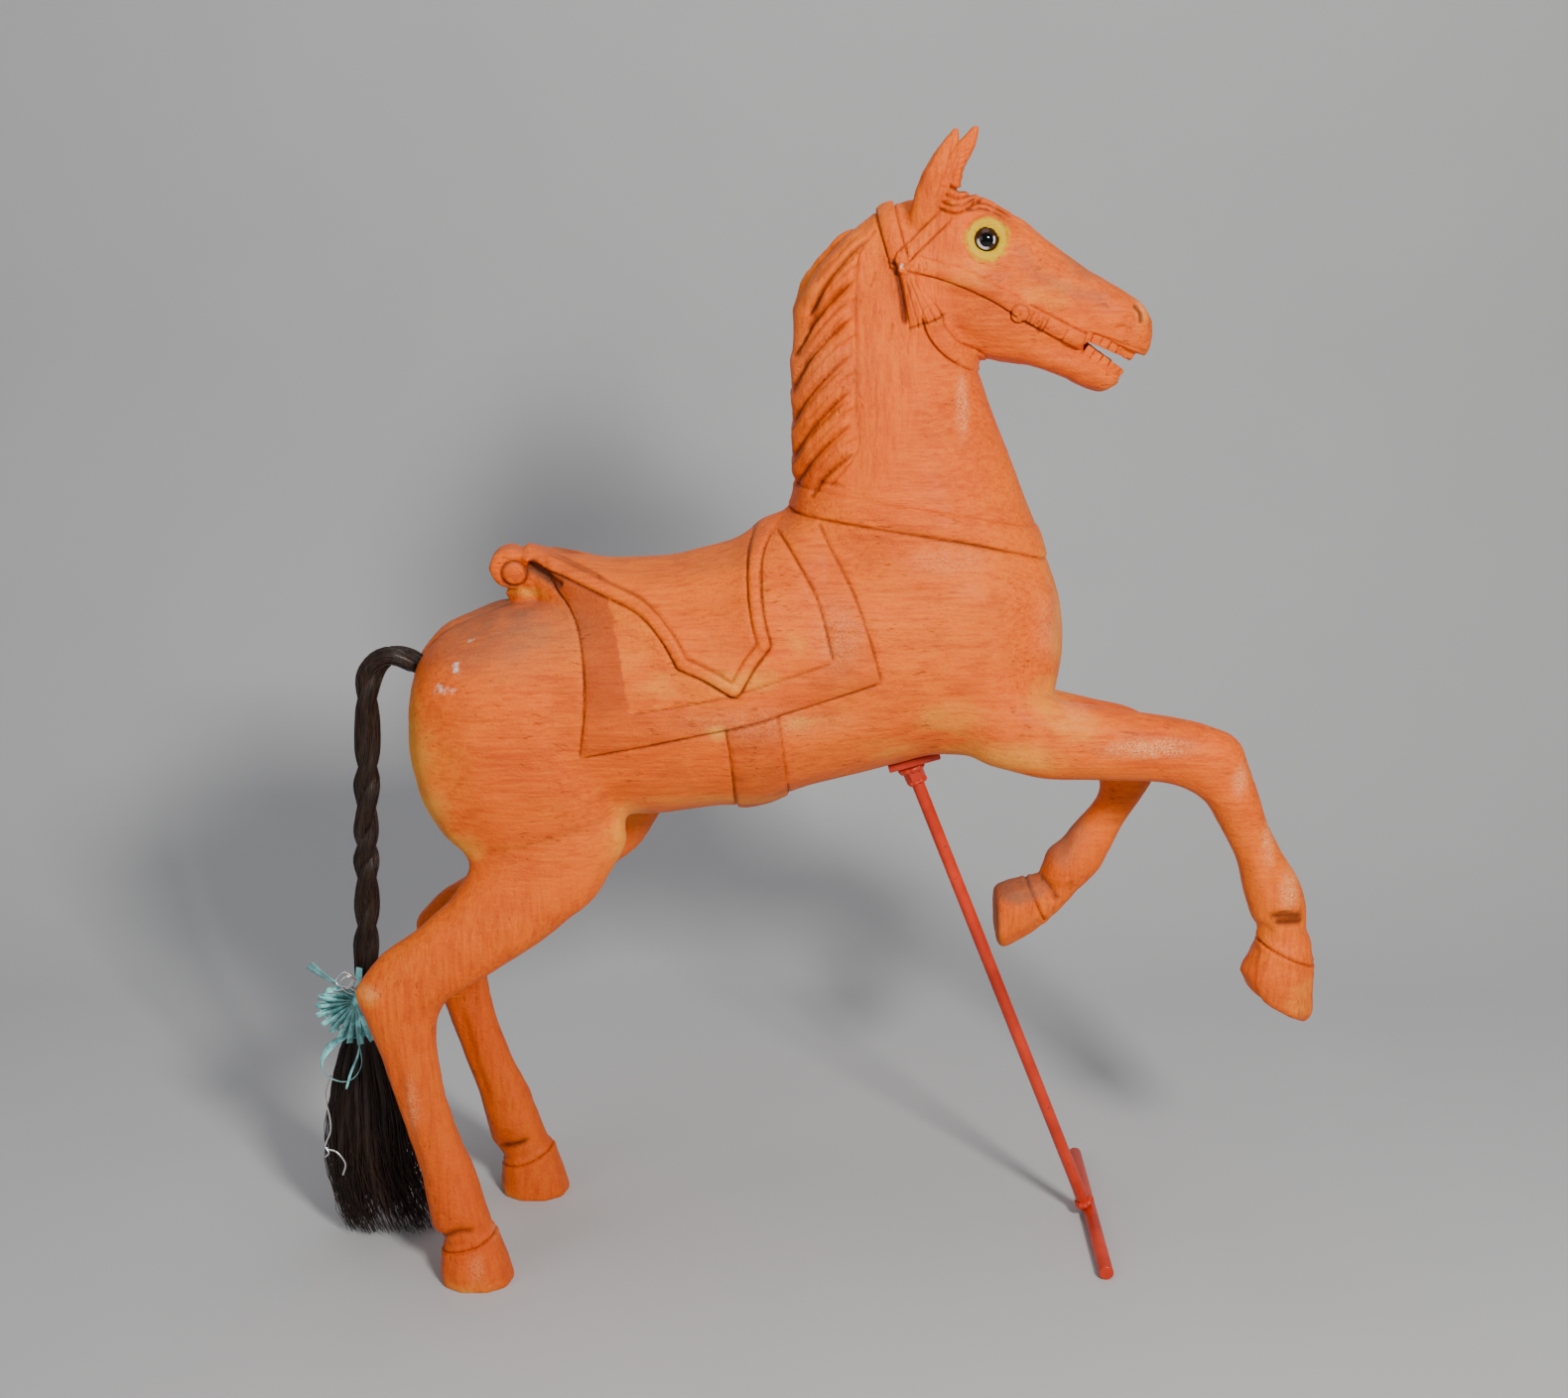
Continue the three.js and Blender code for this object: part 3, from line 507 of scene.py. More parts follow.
def tack_relief(points):
    """Height of saddle, cloth and straps in mm, and the depth of the cuts round them."""
    flat = points[:, (0, 2)]
    x, y, z = points.T
    height = np.zeros(len(points))
    cut = np.zeros(len(points))
    on_trunk = z > 540
    wander = 0.9 * lattice_noise(points, 24, 3) + 0.4 * lattice_noise(points, 7, 4)

    cloth_edges = (CLOTH_BACK, CLOTH_LOWER, CLOTH_FRONT)
    cloth_gap = np.minimum.reduce([beside(flat, line)[0] for line in cloth_edges])
    cloth_side = np.where(inside(flat, CLOTH), 1, -1) * np.minimum(cloth_gap, 40)
    under_seat = 1 - smoothstep(900, 924, z)
    height += CLOTH_RISE * smoothstep(-1.0, 1.4, cloth_side + 0.4 * wander) * on_trunk * under_seat
    for line, width, depth in ((CLOTH_BACK, 3.0, 3.2), (CLOTH_LOWER, 3.4, 3.2), (CLOTH_FRONT, 3.0, 2.8),
                               (BORDER_BACK, 2.4, 0.6), (BORDER_LOWER, 2.8, 2.2), (BORDER_FRONT, 3.0, 3.2)):
        distance, along, _ = beside(flat, line, 12)
        cut += groove(distance + 0.6 * wander, width, depth) * ends(along, 0.03) * on_trunk
    girth_distance, _, _ = beside(flat, GIRTH, 60)
    under_cloth = 1 - smoothstep(-1.5, 0.5, cloth_side)
    girth = strap(girth_distance + 0.4 * wander, GIRTH_HALF, 2.4) * under_cloth * (z < 715)
    height += girth
    beside_girth = np.abs(girth_distance - GIRTH_HALF - 1.3) + 0.5 * wander
    cut += groove(beside_girth, 3.0, 2.2) * under_cloth * (z < 712) * (z > 520)

    breast_distance, _, sign = beside(flat, BREAST_STRAP, 40)
    height += strap(breast_distance + 0.5 * wander, BREAST_HALF, 2.0, 3.5)
    below = np.where(sign < 0, 1.0, 0.45)
    beside_strap = np.abs(breast_distance - BREAST_HALF - 1.3) + 0.6 * wander
    cut += groove(beside_strap, 3.4, 2.8) * below * (x > 6)
    for line, width, depth in (([(34, 958), (52, 960), (72, 955)], 5, 1.8),
                               ([(60, 925), (120, 916), (200, 899), (262, 880)], 5, 1.3)):
        distance, along, _ = beside(flat, drawn(line), 14)
        cut += groove(distance + wander, width, depth) * ends(along, 0.3)

    flap_gap = np.minimum.reduce([beside(flat, line)[0] for line in WELTS])
    flap_side = np.where(inside(flat, FLAP), 1, -1) * np.minimum(flap_gap, 40)
    low_enough = 1 - smoothstep(880, 925, z)
    height += 0.6 * smoothstep(-1.0, 1.4, flap_side) * on_trunk * low_enough * smoothstep(-290, -240, x)
    for line in WELTS:
        distance, along, _ = beside(flat, line)
        begun = smoothstep(0, 0.35, along) if line is FLAP_BACK else 1
        height += roll(distance + 0.3 * wander, WELT_HALF, WELT_RISE) * begun * low_enough
    beside_welt = np.abs(flap_gap - WELT_HALF - 0.8) + 0.5 * wander
    welt_groove = groove(beside_welt, 3.0, 2.4) * (z > 700) * low_enough
    welt_groove *= 1 + 0.5 * (flap_side < 0)
    cut += welt_groove * smoothstep(-290, -250, x)
    distance, along, _ = beside(flat, FLAP_FRONT, 30)
    stitch_line = groove(np.abs(distance - 12), 1.8, 0.9) * (flap_side < 0) * (x < 0)
    cut += stitch_line * low_enough * ends(along, 0.1)
    pommel = (1 - smoothstep(26, 60, np.abs(y))) * hump(x + 12, 24) * (z > 880)
    height -= 3.0 * pommel
    return height, cut, cloth_side, flap_side, girth


# %% [markdown]
# ### Bridle
# Flat straps, a boss where the bit meets its cheek piece, beads along the mouthpiece, and below the
# rosette a tassel of nine cut strands.

# %% Height of the bridle
def bridle_relief(points):
    flat = points[:, (0, 2)]
    height = np.zeros(len(points))
    cut = np.zeros(len(points))
    wander = 0.7 * lattice_noise(points, 14, 33) + 0.4 * lattice_noise(points, 5, 34)
    straps = ((CROWN_STRAP, 9.5, 2.8), (BROW_STRAP, 7, 1.8), (CHEEK_STRAP, 8.5, 2.2), (BIT_STRAP, 8.5, 3.0),
              (THROAT_STRAP, 10, 2.4))
    for line, half, rise in straps:
        distance, along, sign = beside(flat, line, 20)
        still_there = 1 - smoothstep(0.7, 0.95, along) if line is BROW_STRAP else 1
        height = np.maximum(height, strap(distance + 0.6 * wander, half, rise, 1.4) * still_there)
        lower = np.where(sign < 0, 1.0, 0.45) if line is CHEEK_STRAP else 1.0
        beside_strap = np.abs(distance - half - 0.9) + 0.5 * wander
        edge = groove(beside_strap, 2.6, 2.6) * lower * still_there * ends(along, 0.05)
        cut = np.minimum(cut, edge)
    for line, width, depth in (([(117, 1208), (126, 1168), (132, 1130)], 6, 4.5),
                               ([(134, 1129), (150, 1133), (179, 1145)], 3, 2.5)):
        distance, along, _ = beside(flat, drawn(line), 14)
        cut += groove(distance, width, depth) * ends(along, 0.12)
    disc_distance = gap_from(points, DISC)
    height = np.where(disc_distance < 9.5, np.maximum(height, 3.4), height)
    cut += groove(np.abs(disc_distance - 10), 2.2, 2.0) + groove(disc_distance, 4.0, 1.8)
    forward = (flat - DISC) @ BIT_DIRECTION
    off_strap = np.abs((flat - DISC) @ (BIT_DIRECTION[1], -BIT_DIRECTION[0]))
    on_strap = 1 - smoothstep(7.5, 10, off_strap)
    for step, width, depth in ((13, 2.4, 2.0), (19, 2.0, 1.6), (26, 2.2, 2.2), (31, 2.4, 2.6),
                               (56, 2.4, 2.0)):
        cut += groove(forward - step + 0.6 * wander, width, depth) * on_strap
    height += 1.8 * hump(forward - 28.5, 2.6) * on_strap
    cut += groove(forward - 22.5, 4.0, 2.2) * (off_strap < 3)
    rosette_distance = gap_from(points, ROSETTE)
    lumps = lattice_noise(points, 5.0, 11) + 0.5 * lattice_noise(points, 2.6, 12)
    height += (1 - smoothstep(10, 17, rosette_distance)) * 2.8 * lumps
    cut += groove(np.abs(rosette_distance - 13), 2.2, 1.0)
    for share in np.linspace(0.04, 0.96, 9):
        line = np.array([(124 + 21 * share, 1184 + 4 * share), (136 + 40 * share, 1126 + 15 * share)])
        distance, along, _ = beside(flat, line, 8)
        deep_or_shallow = 0.6 + 0.4 * (-1) ** round(8 * share)
        cut += groove(distance + 0.4 * wander, 2.0, 1.9) * smoothstep(0, 0.2, along) * deep_or_shallow
    return height, cut


# %% [markdown]
# ### Hair
# The mane's locks hang side by side. Each is round between two deep cuts, with a few lighter cuts
# along it. Over the crest they fade out, so that the outline of the neck stays smooth.

# %% Height of the hair
def swung(start, stop, count=24):
    """A lock's edge: it leaves the mane's front edge slanting and falls more steeply at the crest."""
    (x0, z0), (x1, z1) = start, stop
    dx, dz = x1 - x0, z1 - z0
    return drawn([start, (x0 + 0.33 * dx, z0 + 0.22 * dz), (x0 + 0.72 * dx, z0 + 0.58 * dz), stop], count)


def hair_relief(points):
    flat = points[:, (0, 2)]
    height = np.zeros(len(points))
    cut = np.zeros(len(points))
    edge_distance, _, edge_side = beside(flat, MANE_EDGE, 120)
    in_mane = smoothstep(-1.5, 1.5, np.where(edge_side < 0, edge_distance, -edge_distance))
    x, z = flat.T
    in_mane = in_mane * smoothstep(944, 966, z) * (x < 100) * (z < 1250) * (edge_distance < 119)
    height += 1.0 * in_mane
    cut += groove(edge_distance, 3.0, 2.0) * smoothstep(948, 962, z)
    cuts = [swung(*cut_line) for cut_line in MANE_CUTS]
    measured = [beside(flat, line, 60) for line in cuts]
    gaps = np.array([distance for distance, _, _ in measured])
    alongs = np.array([along for _, along, _ in measured])
    nearest, second = np.sort(gaps, axis=0)[:2]
    share = nearest / np.maximum(nearest + second, 0.01)
    round_lock = np.clip(1 - (1 - 2 * share) ** 2, 0, 1) ** 0.75 * (second < 59)
    fade = smoothstep(0, 0.2, np.take_along_axis(alongs, gaps.argmin(axis=0)[None], axis=0)[0])
    beyond_crest = smoothstep(4, 22, np.abs(points[:, 1]))
    height += 7.0 * round_lock * in_mane * fade * beyond_crest
    for i, line in enumerate(cuts):
        distance, along, _ = beside(flat, line, 25)
        wavy = distance + 0.9 * lattice_noise(points, 12, 6)
        cut += groove(wavy, 4.4, 2.6) * smoothstep(0, 0.14, along) * beyond_crest
        if i + 1 < len(cuts):
            for j, between in enumerate((0.2, 0.42, 0.6, 0.8)):
                part = line * (1 - between) + cuts[i + 1] * between
                distance, along, _ = beside(flat, part, 12)
                strength = 0.7 + 0.5 * math.sin(5 * i + 3 * j)
                wavy = distance + 0.5 * lattice_noise(points, 15, 7)
                cut += groove(wavy, 3.2, 1.7 * strength) * ends(along, 0.25) * beyond_crest
    for control in FORELOCK_CUTS:
        distance, along, _ = beside(flat, drawn(control, 20), 12)
        cut += groove(distance, 3.2, 3.4) * ends(along, 0.12)
        height += 1.2 * hump(distance - 3.6, 2.4) * ends(along, 0.15)
    ear_rim = drawn([(181, 1334), (174, 1296), (161, 1263)], 20)
    distance, along, _ = beside(flat, ear_rim, 8)
    cut += groove(distance, 2.2, 1.6) * ends(along, 0.1) * (points[:, 1] < 0)
    for i in range(7):
        notch = np.array([(189 + 1.4 * i, 1287 + 6.2 * i), (200 + 1.1 * i, 1291 + 6.4 * i)])
        distance, along, _ = beside(flat, notch, 5)
        cut += groove(distance, 2.4, 0.9) * (points[:, 1] > 0)
    return height, cut


# %% [markdown]
# ### Face
# Lids stand up round the eye, a shallow crest runs down the cheek, the nostril is a hollow beside a
# swelling, and thin cuts draw the lips and the corner of the mouth.

# %% Height of the face
def face_relief(points):
    flat = points[:, (0, 2)]
    height = np.zeros(len(points))
    cut = np.zeros(len(points))
    from_eye = np.linalg.norm(points * (1, 0, 1) - EYE * (1, 0, 1), axis=1)
    above = smoothstep(-8, 10, points[:, 2] - EYE[2])
    outside = np.abs(points[:, 1]) > 18
    height += (1.2 + 1.6 * above) * hump(from_eye - 19.5, 3.4) * outside
    cut += groove(np.abs(from_eye - 26), 4, 0.7) * outside
    distance, along, sign = beside(flat, FACE_CREST, 30)
    height += 0.5 * hump(distance - 6, 6) * (sign < 0) * ends(along, 0.25)
    cut += groove(distance, 14, 0.8) * ends(along, 0.25)
    outer = np.abs(points[:, 1]) > 12
    for centre, reach, rise in (((389, 1143), 10, 2.4), ((381, 1138), 5.5, -4.6), ((372, 1152), 9, 1.0),
                                ((250, 1243), 12, -1.2)):
        height += rise * hump(gap_from(points, centre), reach) * outer
    distance, along, _ = beside(flat, NOSTRIL, 12)
    cut += groove(distance, 6, 3.6) * ends(along, 0.15) * outer
    for line, depth in ((LIP_UPPER, 1.4), (LIP_LOWER, 1.4), (MOUTH_CORNER, 1.6)):
        distance, along, _ = beside(flat, line, 10)
        cut += groove(distance, 2.2, depth) * ends(along, 0.05)
    return height, cut


# %% [markdown]
# ### Legs and rump
# Coronets and creases cross the pasterns, tendons run down the cannons, the skin is wrinkled above
# the hooves, and a cleft parts the rump.

# %% Height of the legs and the rump
def limb_relief(points):
    x, y, z = points.T
    flat = points[:, (0, 2)]
    height = np.zeros(len(points))
    cut = np.zeros(len(points))
    for lines, creases, here in ((NEAR_LEG_CUTS, NEAR_LEG_CREASES, y < 0),
                                 (FAR_LEG_CUTS, FAR_LEG_CREASES, y > 0)):
        for line in lines:
            distance, _, _ = beside(flat, line, 16)
            cut += groove(distance, 2.6, 3.2) * here
            height += 1.2 * hump(distance - 4, 3) * here
        for line in creases:
            distance, along, _ = beside(flat, line, 25)
            ragged = distance + 1.5 * lattice_noise(points, 8, 41) + 0.6 * lattice_noise(points, 3.5, 42)
            cut += (groove(ragged, 3.5, 0.8) + groove(distance, 11, 2.4)) * ends(along, 0.25) * here
    for line, here in TENDONS:
        distance, along, _ = beside(flat, line, 40)
        tendon = 1.2 * hump(distance - 9, 7) - 1.6 * hump(distance, 6)
        height += tendon * ends(along, 0.3) * (y * here > 0)
    wrinkles = np.abs(lattice_noise(points * (0.3, 1, 1), 5, 51))
    wrinkles = wrinkles + 0.5 * np.abs(lattice_noise(points * (0.4, 1, 1), 2.6, 52))
    for centre, here in WRINKLED:
        cut -= 1.9 * wrinkles * hump(gap_from(points, centre), 17) * (y * here > 0)
    distance, along, _ = beside(flat, HOOF_ARRIS, 20)
    arris_x = np.interp(z, HOOF_ARRIS[::-1, 1], HOOF_ARRIS[::-1, 0])
    behind = smoothstep(-1, 3, np.where(x < arris_x, distance, -distance))
    height -= 2.4 * behind * hump(distance, 12) * ends(along, 0.15) * (y < 0)
    for centre, reach, rise, here in SWELLS:
        height += rise * hump(gap_from(points, centre), reach) * (y * here >= 0)
    distance, along, _ = beside(flat, HAUNCH_CREASE, 40)
    outer = smoothstep(60, 85, np.abs(y))
    crease = groove(distance, 2.4, 0.4) * ends(along, 0.15) + groove(distance, 22, 1.2) * ends(along, 0.25)
    cut += crease * outer
    cleft = (1 - smoothstep(-345, -295, x)) * smoothstep(560, 620, z) * (z < 850)
    cut += groove(y + 9, 10, 4.8) * cleft
    height += 3.0 * hump(y - 14, 10) * cleft
    return height, cut


# %% [markdown]
# ### Scroll and tool marks
# The back of the saddle rolls over into a scroll with a button in its middle, and a deep hollow runs
# forward under it. Over everything lie the faint facets of the gouge.

# %% Height of the scroll, and all the strokes together
SCROLL = (-308, 848)
DEEPEST = 8.5


def scroll_relief(points):
    flat = points[:, (0, 2)]
    radius = gap_from(points, SCROLL)
    outer = np.abs(points[:, 1]) > 8
    cut = groove(np.abs(radius - 14.5), 3.4, 3.2) * outer
    cut += groove(radius, 30, 1.0) * outer
    height = 1.8 * (1 - smoothstep(11, 13, radius)) * outer
    hollow = drawn([(-293, 862), (-282, 856), (-266, 847), (-248, 839)])
    distance, along, _ = beside(flat, hollow, 24)
    cut += groove(distance, 15 - 6 * along, 8.5 - 4 * along) * ends(along, 0.12) * outer
    ledge = near(points * (1, 0, 1), (-300, 0, 824), 18, 14)
    cut += ledge * (0.9 * lattice_noise(points, 6, 5) - 0.4)
    return height, cut


def chisel_marks(points):
    """Long shallow facets left by the gouge and the plane, along the grain."""
    stretched = points * (0.35, 1, 1)
    marks = 0.5 * lattice_noise(stretched, 17, 21) + 0.22 * lattice_noise(stretched, 7, 22)
    on_head = smoothstep(0, 40, past_the_neck(points))
    return marks + 0.35 * on_head * lattice_noise(points, 9, 23)


def relief(points):
    """All the strokes: the height to add at each point, and how deep the cuts are there."""
    height, cut, cloth_side, flap_side, girth = tack_relief(points)
    for part in (bridle_relief, hair_relief, face_relief, limb_relief, scroll_relief):
        more_height, more_cut = part(points)
        height = height + more_height
        cut = cut + more_cut
    return height + chisel_marks(points), np.maximum(cut, -DEEPEST), cloth_side, flap_side, girth


# %% [markdown]
# ### Cutting
# Every point moves along its normal by the height and the cut. The wood is pushed clear of the two
# glass balls, and it fades to nothing at the soles, which stay flat on the floor.

# %% Cut the figure
start_points = bench_points(figure)
normals = normals_of(figure)
height, cut, *_ = relief(start_points)
steady = smoothstep(1, 9, start_points[:, 2])
carved = start_points + normals * ((height + cut) * steady)[:, None]
for side in (-1, 1):
    centre = EYE * (1, side, 1)
    away = carved - centre
    distance = np.linalg.norm(away, axis=1)
    close = distance < EYE_RADIUS + 0.5
    carved[close] = centre + away[close] * ((EYE_RADIUS + 0.5) / distance[close])[:, None]
move_points(figure, (carved + BENCH) / 1000)
print("deepest cut and highest rise, mm:", round(float(cut.min()), 1), round(float(height.max()), 1))

# %% [markdown]
# ## Fewer triangles
# The even mesh spends as many faces on a flat flank as on a lock of the mane. Decimate joins faces
# where the surface is nearly flat and keeps them where it is carved.

# %% Decimate
LIMIT = 190000
fewer = figure.modifiers.new("fewer triangles", "DECIMATE")
fewer.ratio = min(1, LIMIT / (2 * len(figure.data.polygons)))
apply_all(figure)
pick(figure)
bpy.ops.object.shade_smooth()
print("triangles on the figure:", len(figure.data.polygons))

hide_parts("horse")
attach(figure, "root")

# %% [markdown]
# ## Masks for the wood's finish
# The stain is worn or dusty in known places: rubbed down to ochre wood on the cloth's panel and along
# the edges, grey with dust where it faces up. Light and shade are painted in others: painted shade in
# the cuts, a painted rim light on the buttock, a painted shade along the face's crest and painted
# highlights on the right side. Each such place is stored as one number at every point, and the
# material breaks its edge up with noise.

# %% Masks
points = bench_points(figure)
normals = normals_of(figure)
height, cut, cloth_side, flap_side, girth = relief(points)
flat = points[:, (0, 2)]
x, y, z = points.T
right = y < 0


# Worn ochre wood. The three patches at the back of the buttock and thigh are worn wood and a painted rim
# light at once.
WORN_AND_RIM_LIGHT_PLACES = [  # middle in the side view, radii, amount
    ((-75, 690), (16, 16), 1.0), ((12, 700), (24, 14), 0.8), ((-40, 752), (80, 20), 0.5),
    ((-140, 745), (30, 30), 0.45), ((14, 800), (24, 40), 0.25), ((-436, 650), (62, 115), 1.0),
    ((-412, 585), (52, 60), 1.0), ((-380, 548), (56, 28), 1.0), ((305, 880), (30, 70), 0.4),
    ((300, 955), (40, 66), 0.85), ((318, 790), (26, 100), 0.6), ((120, 660), (60, 30), 0.35),
    ((190, 700), (70, 34), 0.5), ((250, 655), (100, 30), 0.8), ((300, 720), (44, 36), 0.6),
    ((330, 690), (50, 26), 0.5), ((-60, 600), (180, 18), 0.4), ((-372, -10), (60, 40), 0.5),
    ((-292, 826), (36, 12), 0.7), ((-482, 372), (26, 22), 0.45), ((600, 360), (40, 50), 0.35),
    ((-180, 560), (34, 60), 0.7), ((200, 1190), (60, 30), 0.3), ((290, 1165), (60, 30), 0.3),
    ((395, 1140), (16, 20), 0.5), ((560, 640), (50, 40), 0.3), ((20, 1190), (40, 90), 0.2),
]
# Painted highlights: lighter speckled patches on the right side, where the key lamp's light falls on the
# legs, chest, neck, throat and nose.
PAINTED_HIGHLIGHT_PLACES = [
    ((410, 668), (80, 17), 1.0), ((516, 628), (14, 28), 1.0), ((553, 548), (12, 44), 0.9),
    ((580, 494), (18, 34), 1.0), ((197, 1045), (11, 52), 1.0), ((-434, 240), (11, 54), 0.6),
    ((300, 800), (26, 60), 0.5), ((330, 720), (26, 40), 0.6), ((-30, 1090), (160, 70), 0.3),
    ((395, 1150), (14, 16), 0.8), ((180, 880), (70, 26), 0.4), ((-20, 700), (150, 30), 0.35),
    ((60, 800), (40, 60), 0.4), ((-478, 378), (18, 14), 0.7), ((-340, 70), (14, 20), 0.7),
    ((-365, 30), (12, 26), 0.5),
]
SCUFFS = [
    ((-366, 758), (4.5, 8), 0.9), ((-380, 735), (17, 5), 0.45), ((-351, 784), (3, 3), 0.5),
    ((127, 1196), (2.6, 4.2), 0.8),
]


def blotch(centre, radii, soft=0.6):
    """1 inside an oval patch of the side view, falling to 0 at its soft edge."""
    gap = np.hypot((x - centre[0]) / radii[0], (z - centre[1]) / radii[1])
    return 1 - smoothstep(1 - soft, 1, gap)


def strongest(places, soft):
    """The strongest of several patches at each point."""
    return np.maximum.reduce([amount * blotch(centre, radii, soft) for centre, radii, amount in places])


# %% Painted shade in the cuts, worn wood with a painted rim light, tack and painted highlights
# Painted shade in the cuts: darker the deeper the cut.
paint(figure, "painted_shade_in_cuts", np.clip((-cut - 0.7) / 2.6, 0, 1))
panel = inside(flat, PANEL) * (flap_side < -6)
border = (cloth_side > 0) * (1 - panel) * (flap_side < -6)
worn_panel = 0.12 * panel * (x < -20) + 0.05 * panel
# Worn wood, with a painted rim light on the buttock.
paint(figure, "worn_and_rim_light", np.maximum(worn_panel, strongest(WORN_AND_RIM_LIGHT_PLACES, 0.9)))
rear = border * (x < -150)
stain = 0.66 * rear * smoothstep(690, 740, z) + 0.3 * border + 0.55 * (girth > 0.6)
paint(figure, "tack_stain", np.clip(stain, 0, 1))
# Painted highlights, on the right side only.
paint(figure, "painted_highlight", strongest(PAINTED_HIGHLIGHT_PLACES, 0.8) * right)

# %% Dust with a painted shade along the face's crest, the ring round the eye and scuffs
facing_up, facing_back = normals[:, 2], -normals[:, 0]
both_sides, left_side = np.ones(len(points)), y > 0
# A grey line along the face's crest is a painted shade; the rest is dust on faces that look up.
dust_and_shade = 0.5 * hump(beside(flat, FACE_CREST, 30)[0], 7)
for facing, low, high, centre, radii, soft, amount, on_side in (
    (facing_up, 0.1, 0.8, (-330, 810), (170, 90), 0.9, 1.0, both_sides),     # top of the rump
    (facing_up, -0.1, 0.5, (285, 440), (50, 26), 0.5, 1.0, left_side),       # raised left hoof
    (facing_back, 0.45, 0.85, (262, 392), (14, 60), 0.4, 0.8, left_side),    # its sole
    (facing_up, 0.0, 0.7, (340, 500), (46, 60), 0.7, 0.9, left_side),        # its pastern
    (facing_up, 0.3, 0.85, (320, 1190), (85, 30), 0.9, 0.6, both_sides),     # bridge of the nose
    (facing_up, 0.35, 0.95, (-150, 880), (230, 40), 0.9, 0.35, both_sides),  # seat of the saddle
):
    dust_and_shade = np.maximum(dust_and_shade, amount * smoothstep(low, high, facing) * blotch(centre, radii, soft) * on_side)
paint(figure, "dust_and_shade", dust_and_shade)
ragged_ring = np.hypot(x - 220, (z - EYE[2]) * 1.08) + 3 * lattice_noise(points, 9, 8)
paint(figure, "eye_ring", (1 - smoothstep(19, 29, ragged_ring)) * (np.abs(y) > 15))
scuffs = sum(amount * blotch(centre, radii) for centre, radii, amount in SCUFFS)
paint(figure, "scuff", np.clip(scuffs * right, 0, 1))

# %% Which way the grain runs
neck = smoothstep(935, 975, z) * (1 - smoothstep(140, 190, x + 0.3 * (1130 - z)))
legs_upright = 1 - smoothstep(440, 560, z)
paint(figure, "upright_grain", np.clip(np.maximum(neck, legs_upright), 0, 1))
print("masks painted on", len(points), "points")

# %% [markdown]
# ## Shared finishes
# Streaks that run along a grain serve the wood, the hair, the satin's threads and the brush marks. A
# mask whose edge is broken up, as worn paint's is, serves several kinds of wear. Each is a node group
# with named sockets, built once, and placed with its own values.


# %% Node helpers
class Nodes:
    """Adds and links the nodes of one tree."""

    def __init__(self, tree):
        self.tree = tree

    def add(self, kind, values=(), **settings):
        node = self.tree.nodes.new(kind)
        for name, value in settings.items():
            setattr(node, name, value)
        for socket, value in dict(values).items():
            self.feed(node.inputs[socket], value)
        return node

    def feed(self, socket, value):
        if isinstance(value, bpy.types.NodeSocket):
            self.tree.links.new(value, socket)
        else:
            socket.default_value = value

    def math(self, operation, first, second=0.5, third=0.5):
        node = self.add("ShaderNodeMath", operation=operation)
        for socket, value in zip(node.inputs, (first, second, third)):
            self.feed(socket, value)
        return node.outputs[0]

    def times(self, first, second):
        return self.math("MULTIPLY", first, second)

    def mix(self, share, first, second):
        """Two colours mixed by a share."""
        node = self.add("ShaderNodeMix", data_type="RGBA")
        self.feed(node.inputs[0], share)
        self.feed(node.inputs[6], first)
        self.feed(node.inputs[7], second)
        return node.outputs[2]

    def layer(self, colour, cover, mask, strength):
        """A colour laid over another where a mask is."""
        return self.mix(self.times(mask, strength), colour, cover)

    def lerp(self, share, first, second):
        """Two numbers mixed by a share."""
        node = self.add("ShaderNodeMix", data_type="FLOAT")
        self.feed(node.inputs[0], share)
        self.feed(node.inputs[2], first)
        self.feed(node.inputs[3], second)
        return node.outputs[0]

    def stretched(self, vector, scale):
        return self.add("ShaderNodeMapping", {"Vector": vector, "Scale": scale}).outputs[0]

    def noise(self, vector, scale, detail=4, roughness=0.55, distortion=0):
        return self.add("ShaderNodeTexNoise", {"Vector": vector, "Scale": scale, "Detail": detail,
                                               "Roughness": roughness, "Distortion": distortion}).outputs[0]

    def span(self, value, low, high):
        """A value spread from 0 at low to 1 at high."""
        node = self.add("ShaderNodeMapRange", {"Value": value, "From Min": low, "From Max": high})
        return node.outputs[0]

    def mask(self, name):
        return self.add("ShaderNodeAttribute", attribute_name=name).outputs["Fac"]

    def places(self):
        return self.add("ShaderNodeTexCoord").outputs["Object"]


def new_group(name, takes, gives):
    """An empty shader group with named sockets, and its two ends."""
    tree = bpy.data.node_groups.new(name, "ShaderNodeTree")
    for socket_name, kind, value in takes:
        socket = tree.interface.new_socket(socket_name, in_out="INPUT", socket_type=kind)
        if value is not None:
            socket.default_value = value
    for socket_name, kind in gives:
        tree.interface.new_socket(socket_name, in_out="OUTPUT", socket_type=kind)
    nodes = Nodes(tree)
    return tree, nodes, nodes.add("NodeGroupInput"), nodes.add("NodeGroupOutput")


# %% Grain group
NUMBER, VECTOR = "NodeSocketFloat", "NodeSocketVector"
grain_tree, g, g_in, g_out = new_group(
    "grain_streaks", [("Vector", VECTOR, None), ("Scale", NUMBER, 40.0), ("Waviness", NUMBER, 0.6)],
    [("Streaks", NUMBER), ("Pores", NUMBER), ("Figure", NUMBER)])
streaks = g.noise(g_in.outputs["Vector"], g_in.outputs["Scale"], 6, 0.62)
g.feed(streaks.node.inputs["Distortion"], g_in.outputs["Waviness"])
fine_scale = g.times(g_in.outputs["Scale"], 5.5)
pores = g.noise(g_in.outputs["Vector"], fine_scale, 3, 0.6)
broad_scale = g.times(g_in.outputs["Scale"], 0.22)
rings = g.noise(g_in.outputs["Vector"], broad_scale, 3, 0.5, 1.2)
bands = g.math("FRACT", g.times(rings, 7.0))
g.feed(g_out.inputs["Streaks"], streaks)
g.feed(g_out.inputs["Pores"], g.span(pores, 0.56, 0.72))
g.feed(g_out.inputs["Figure"], bands)

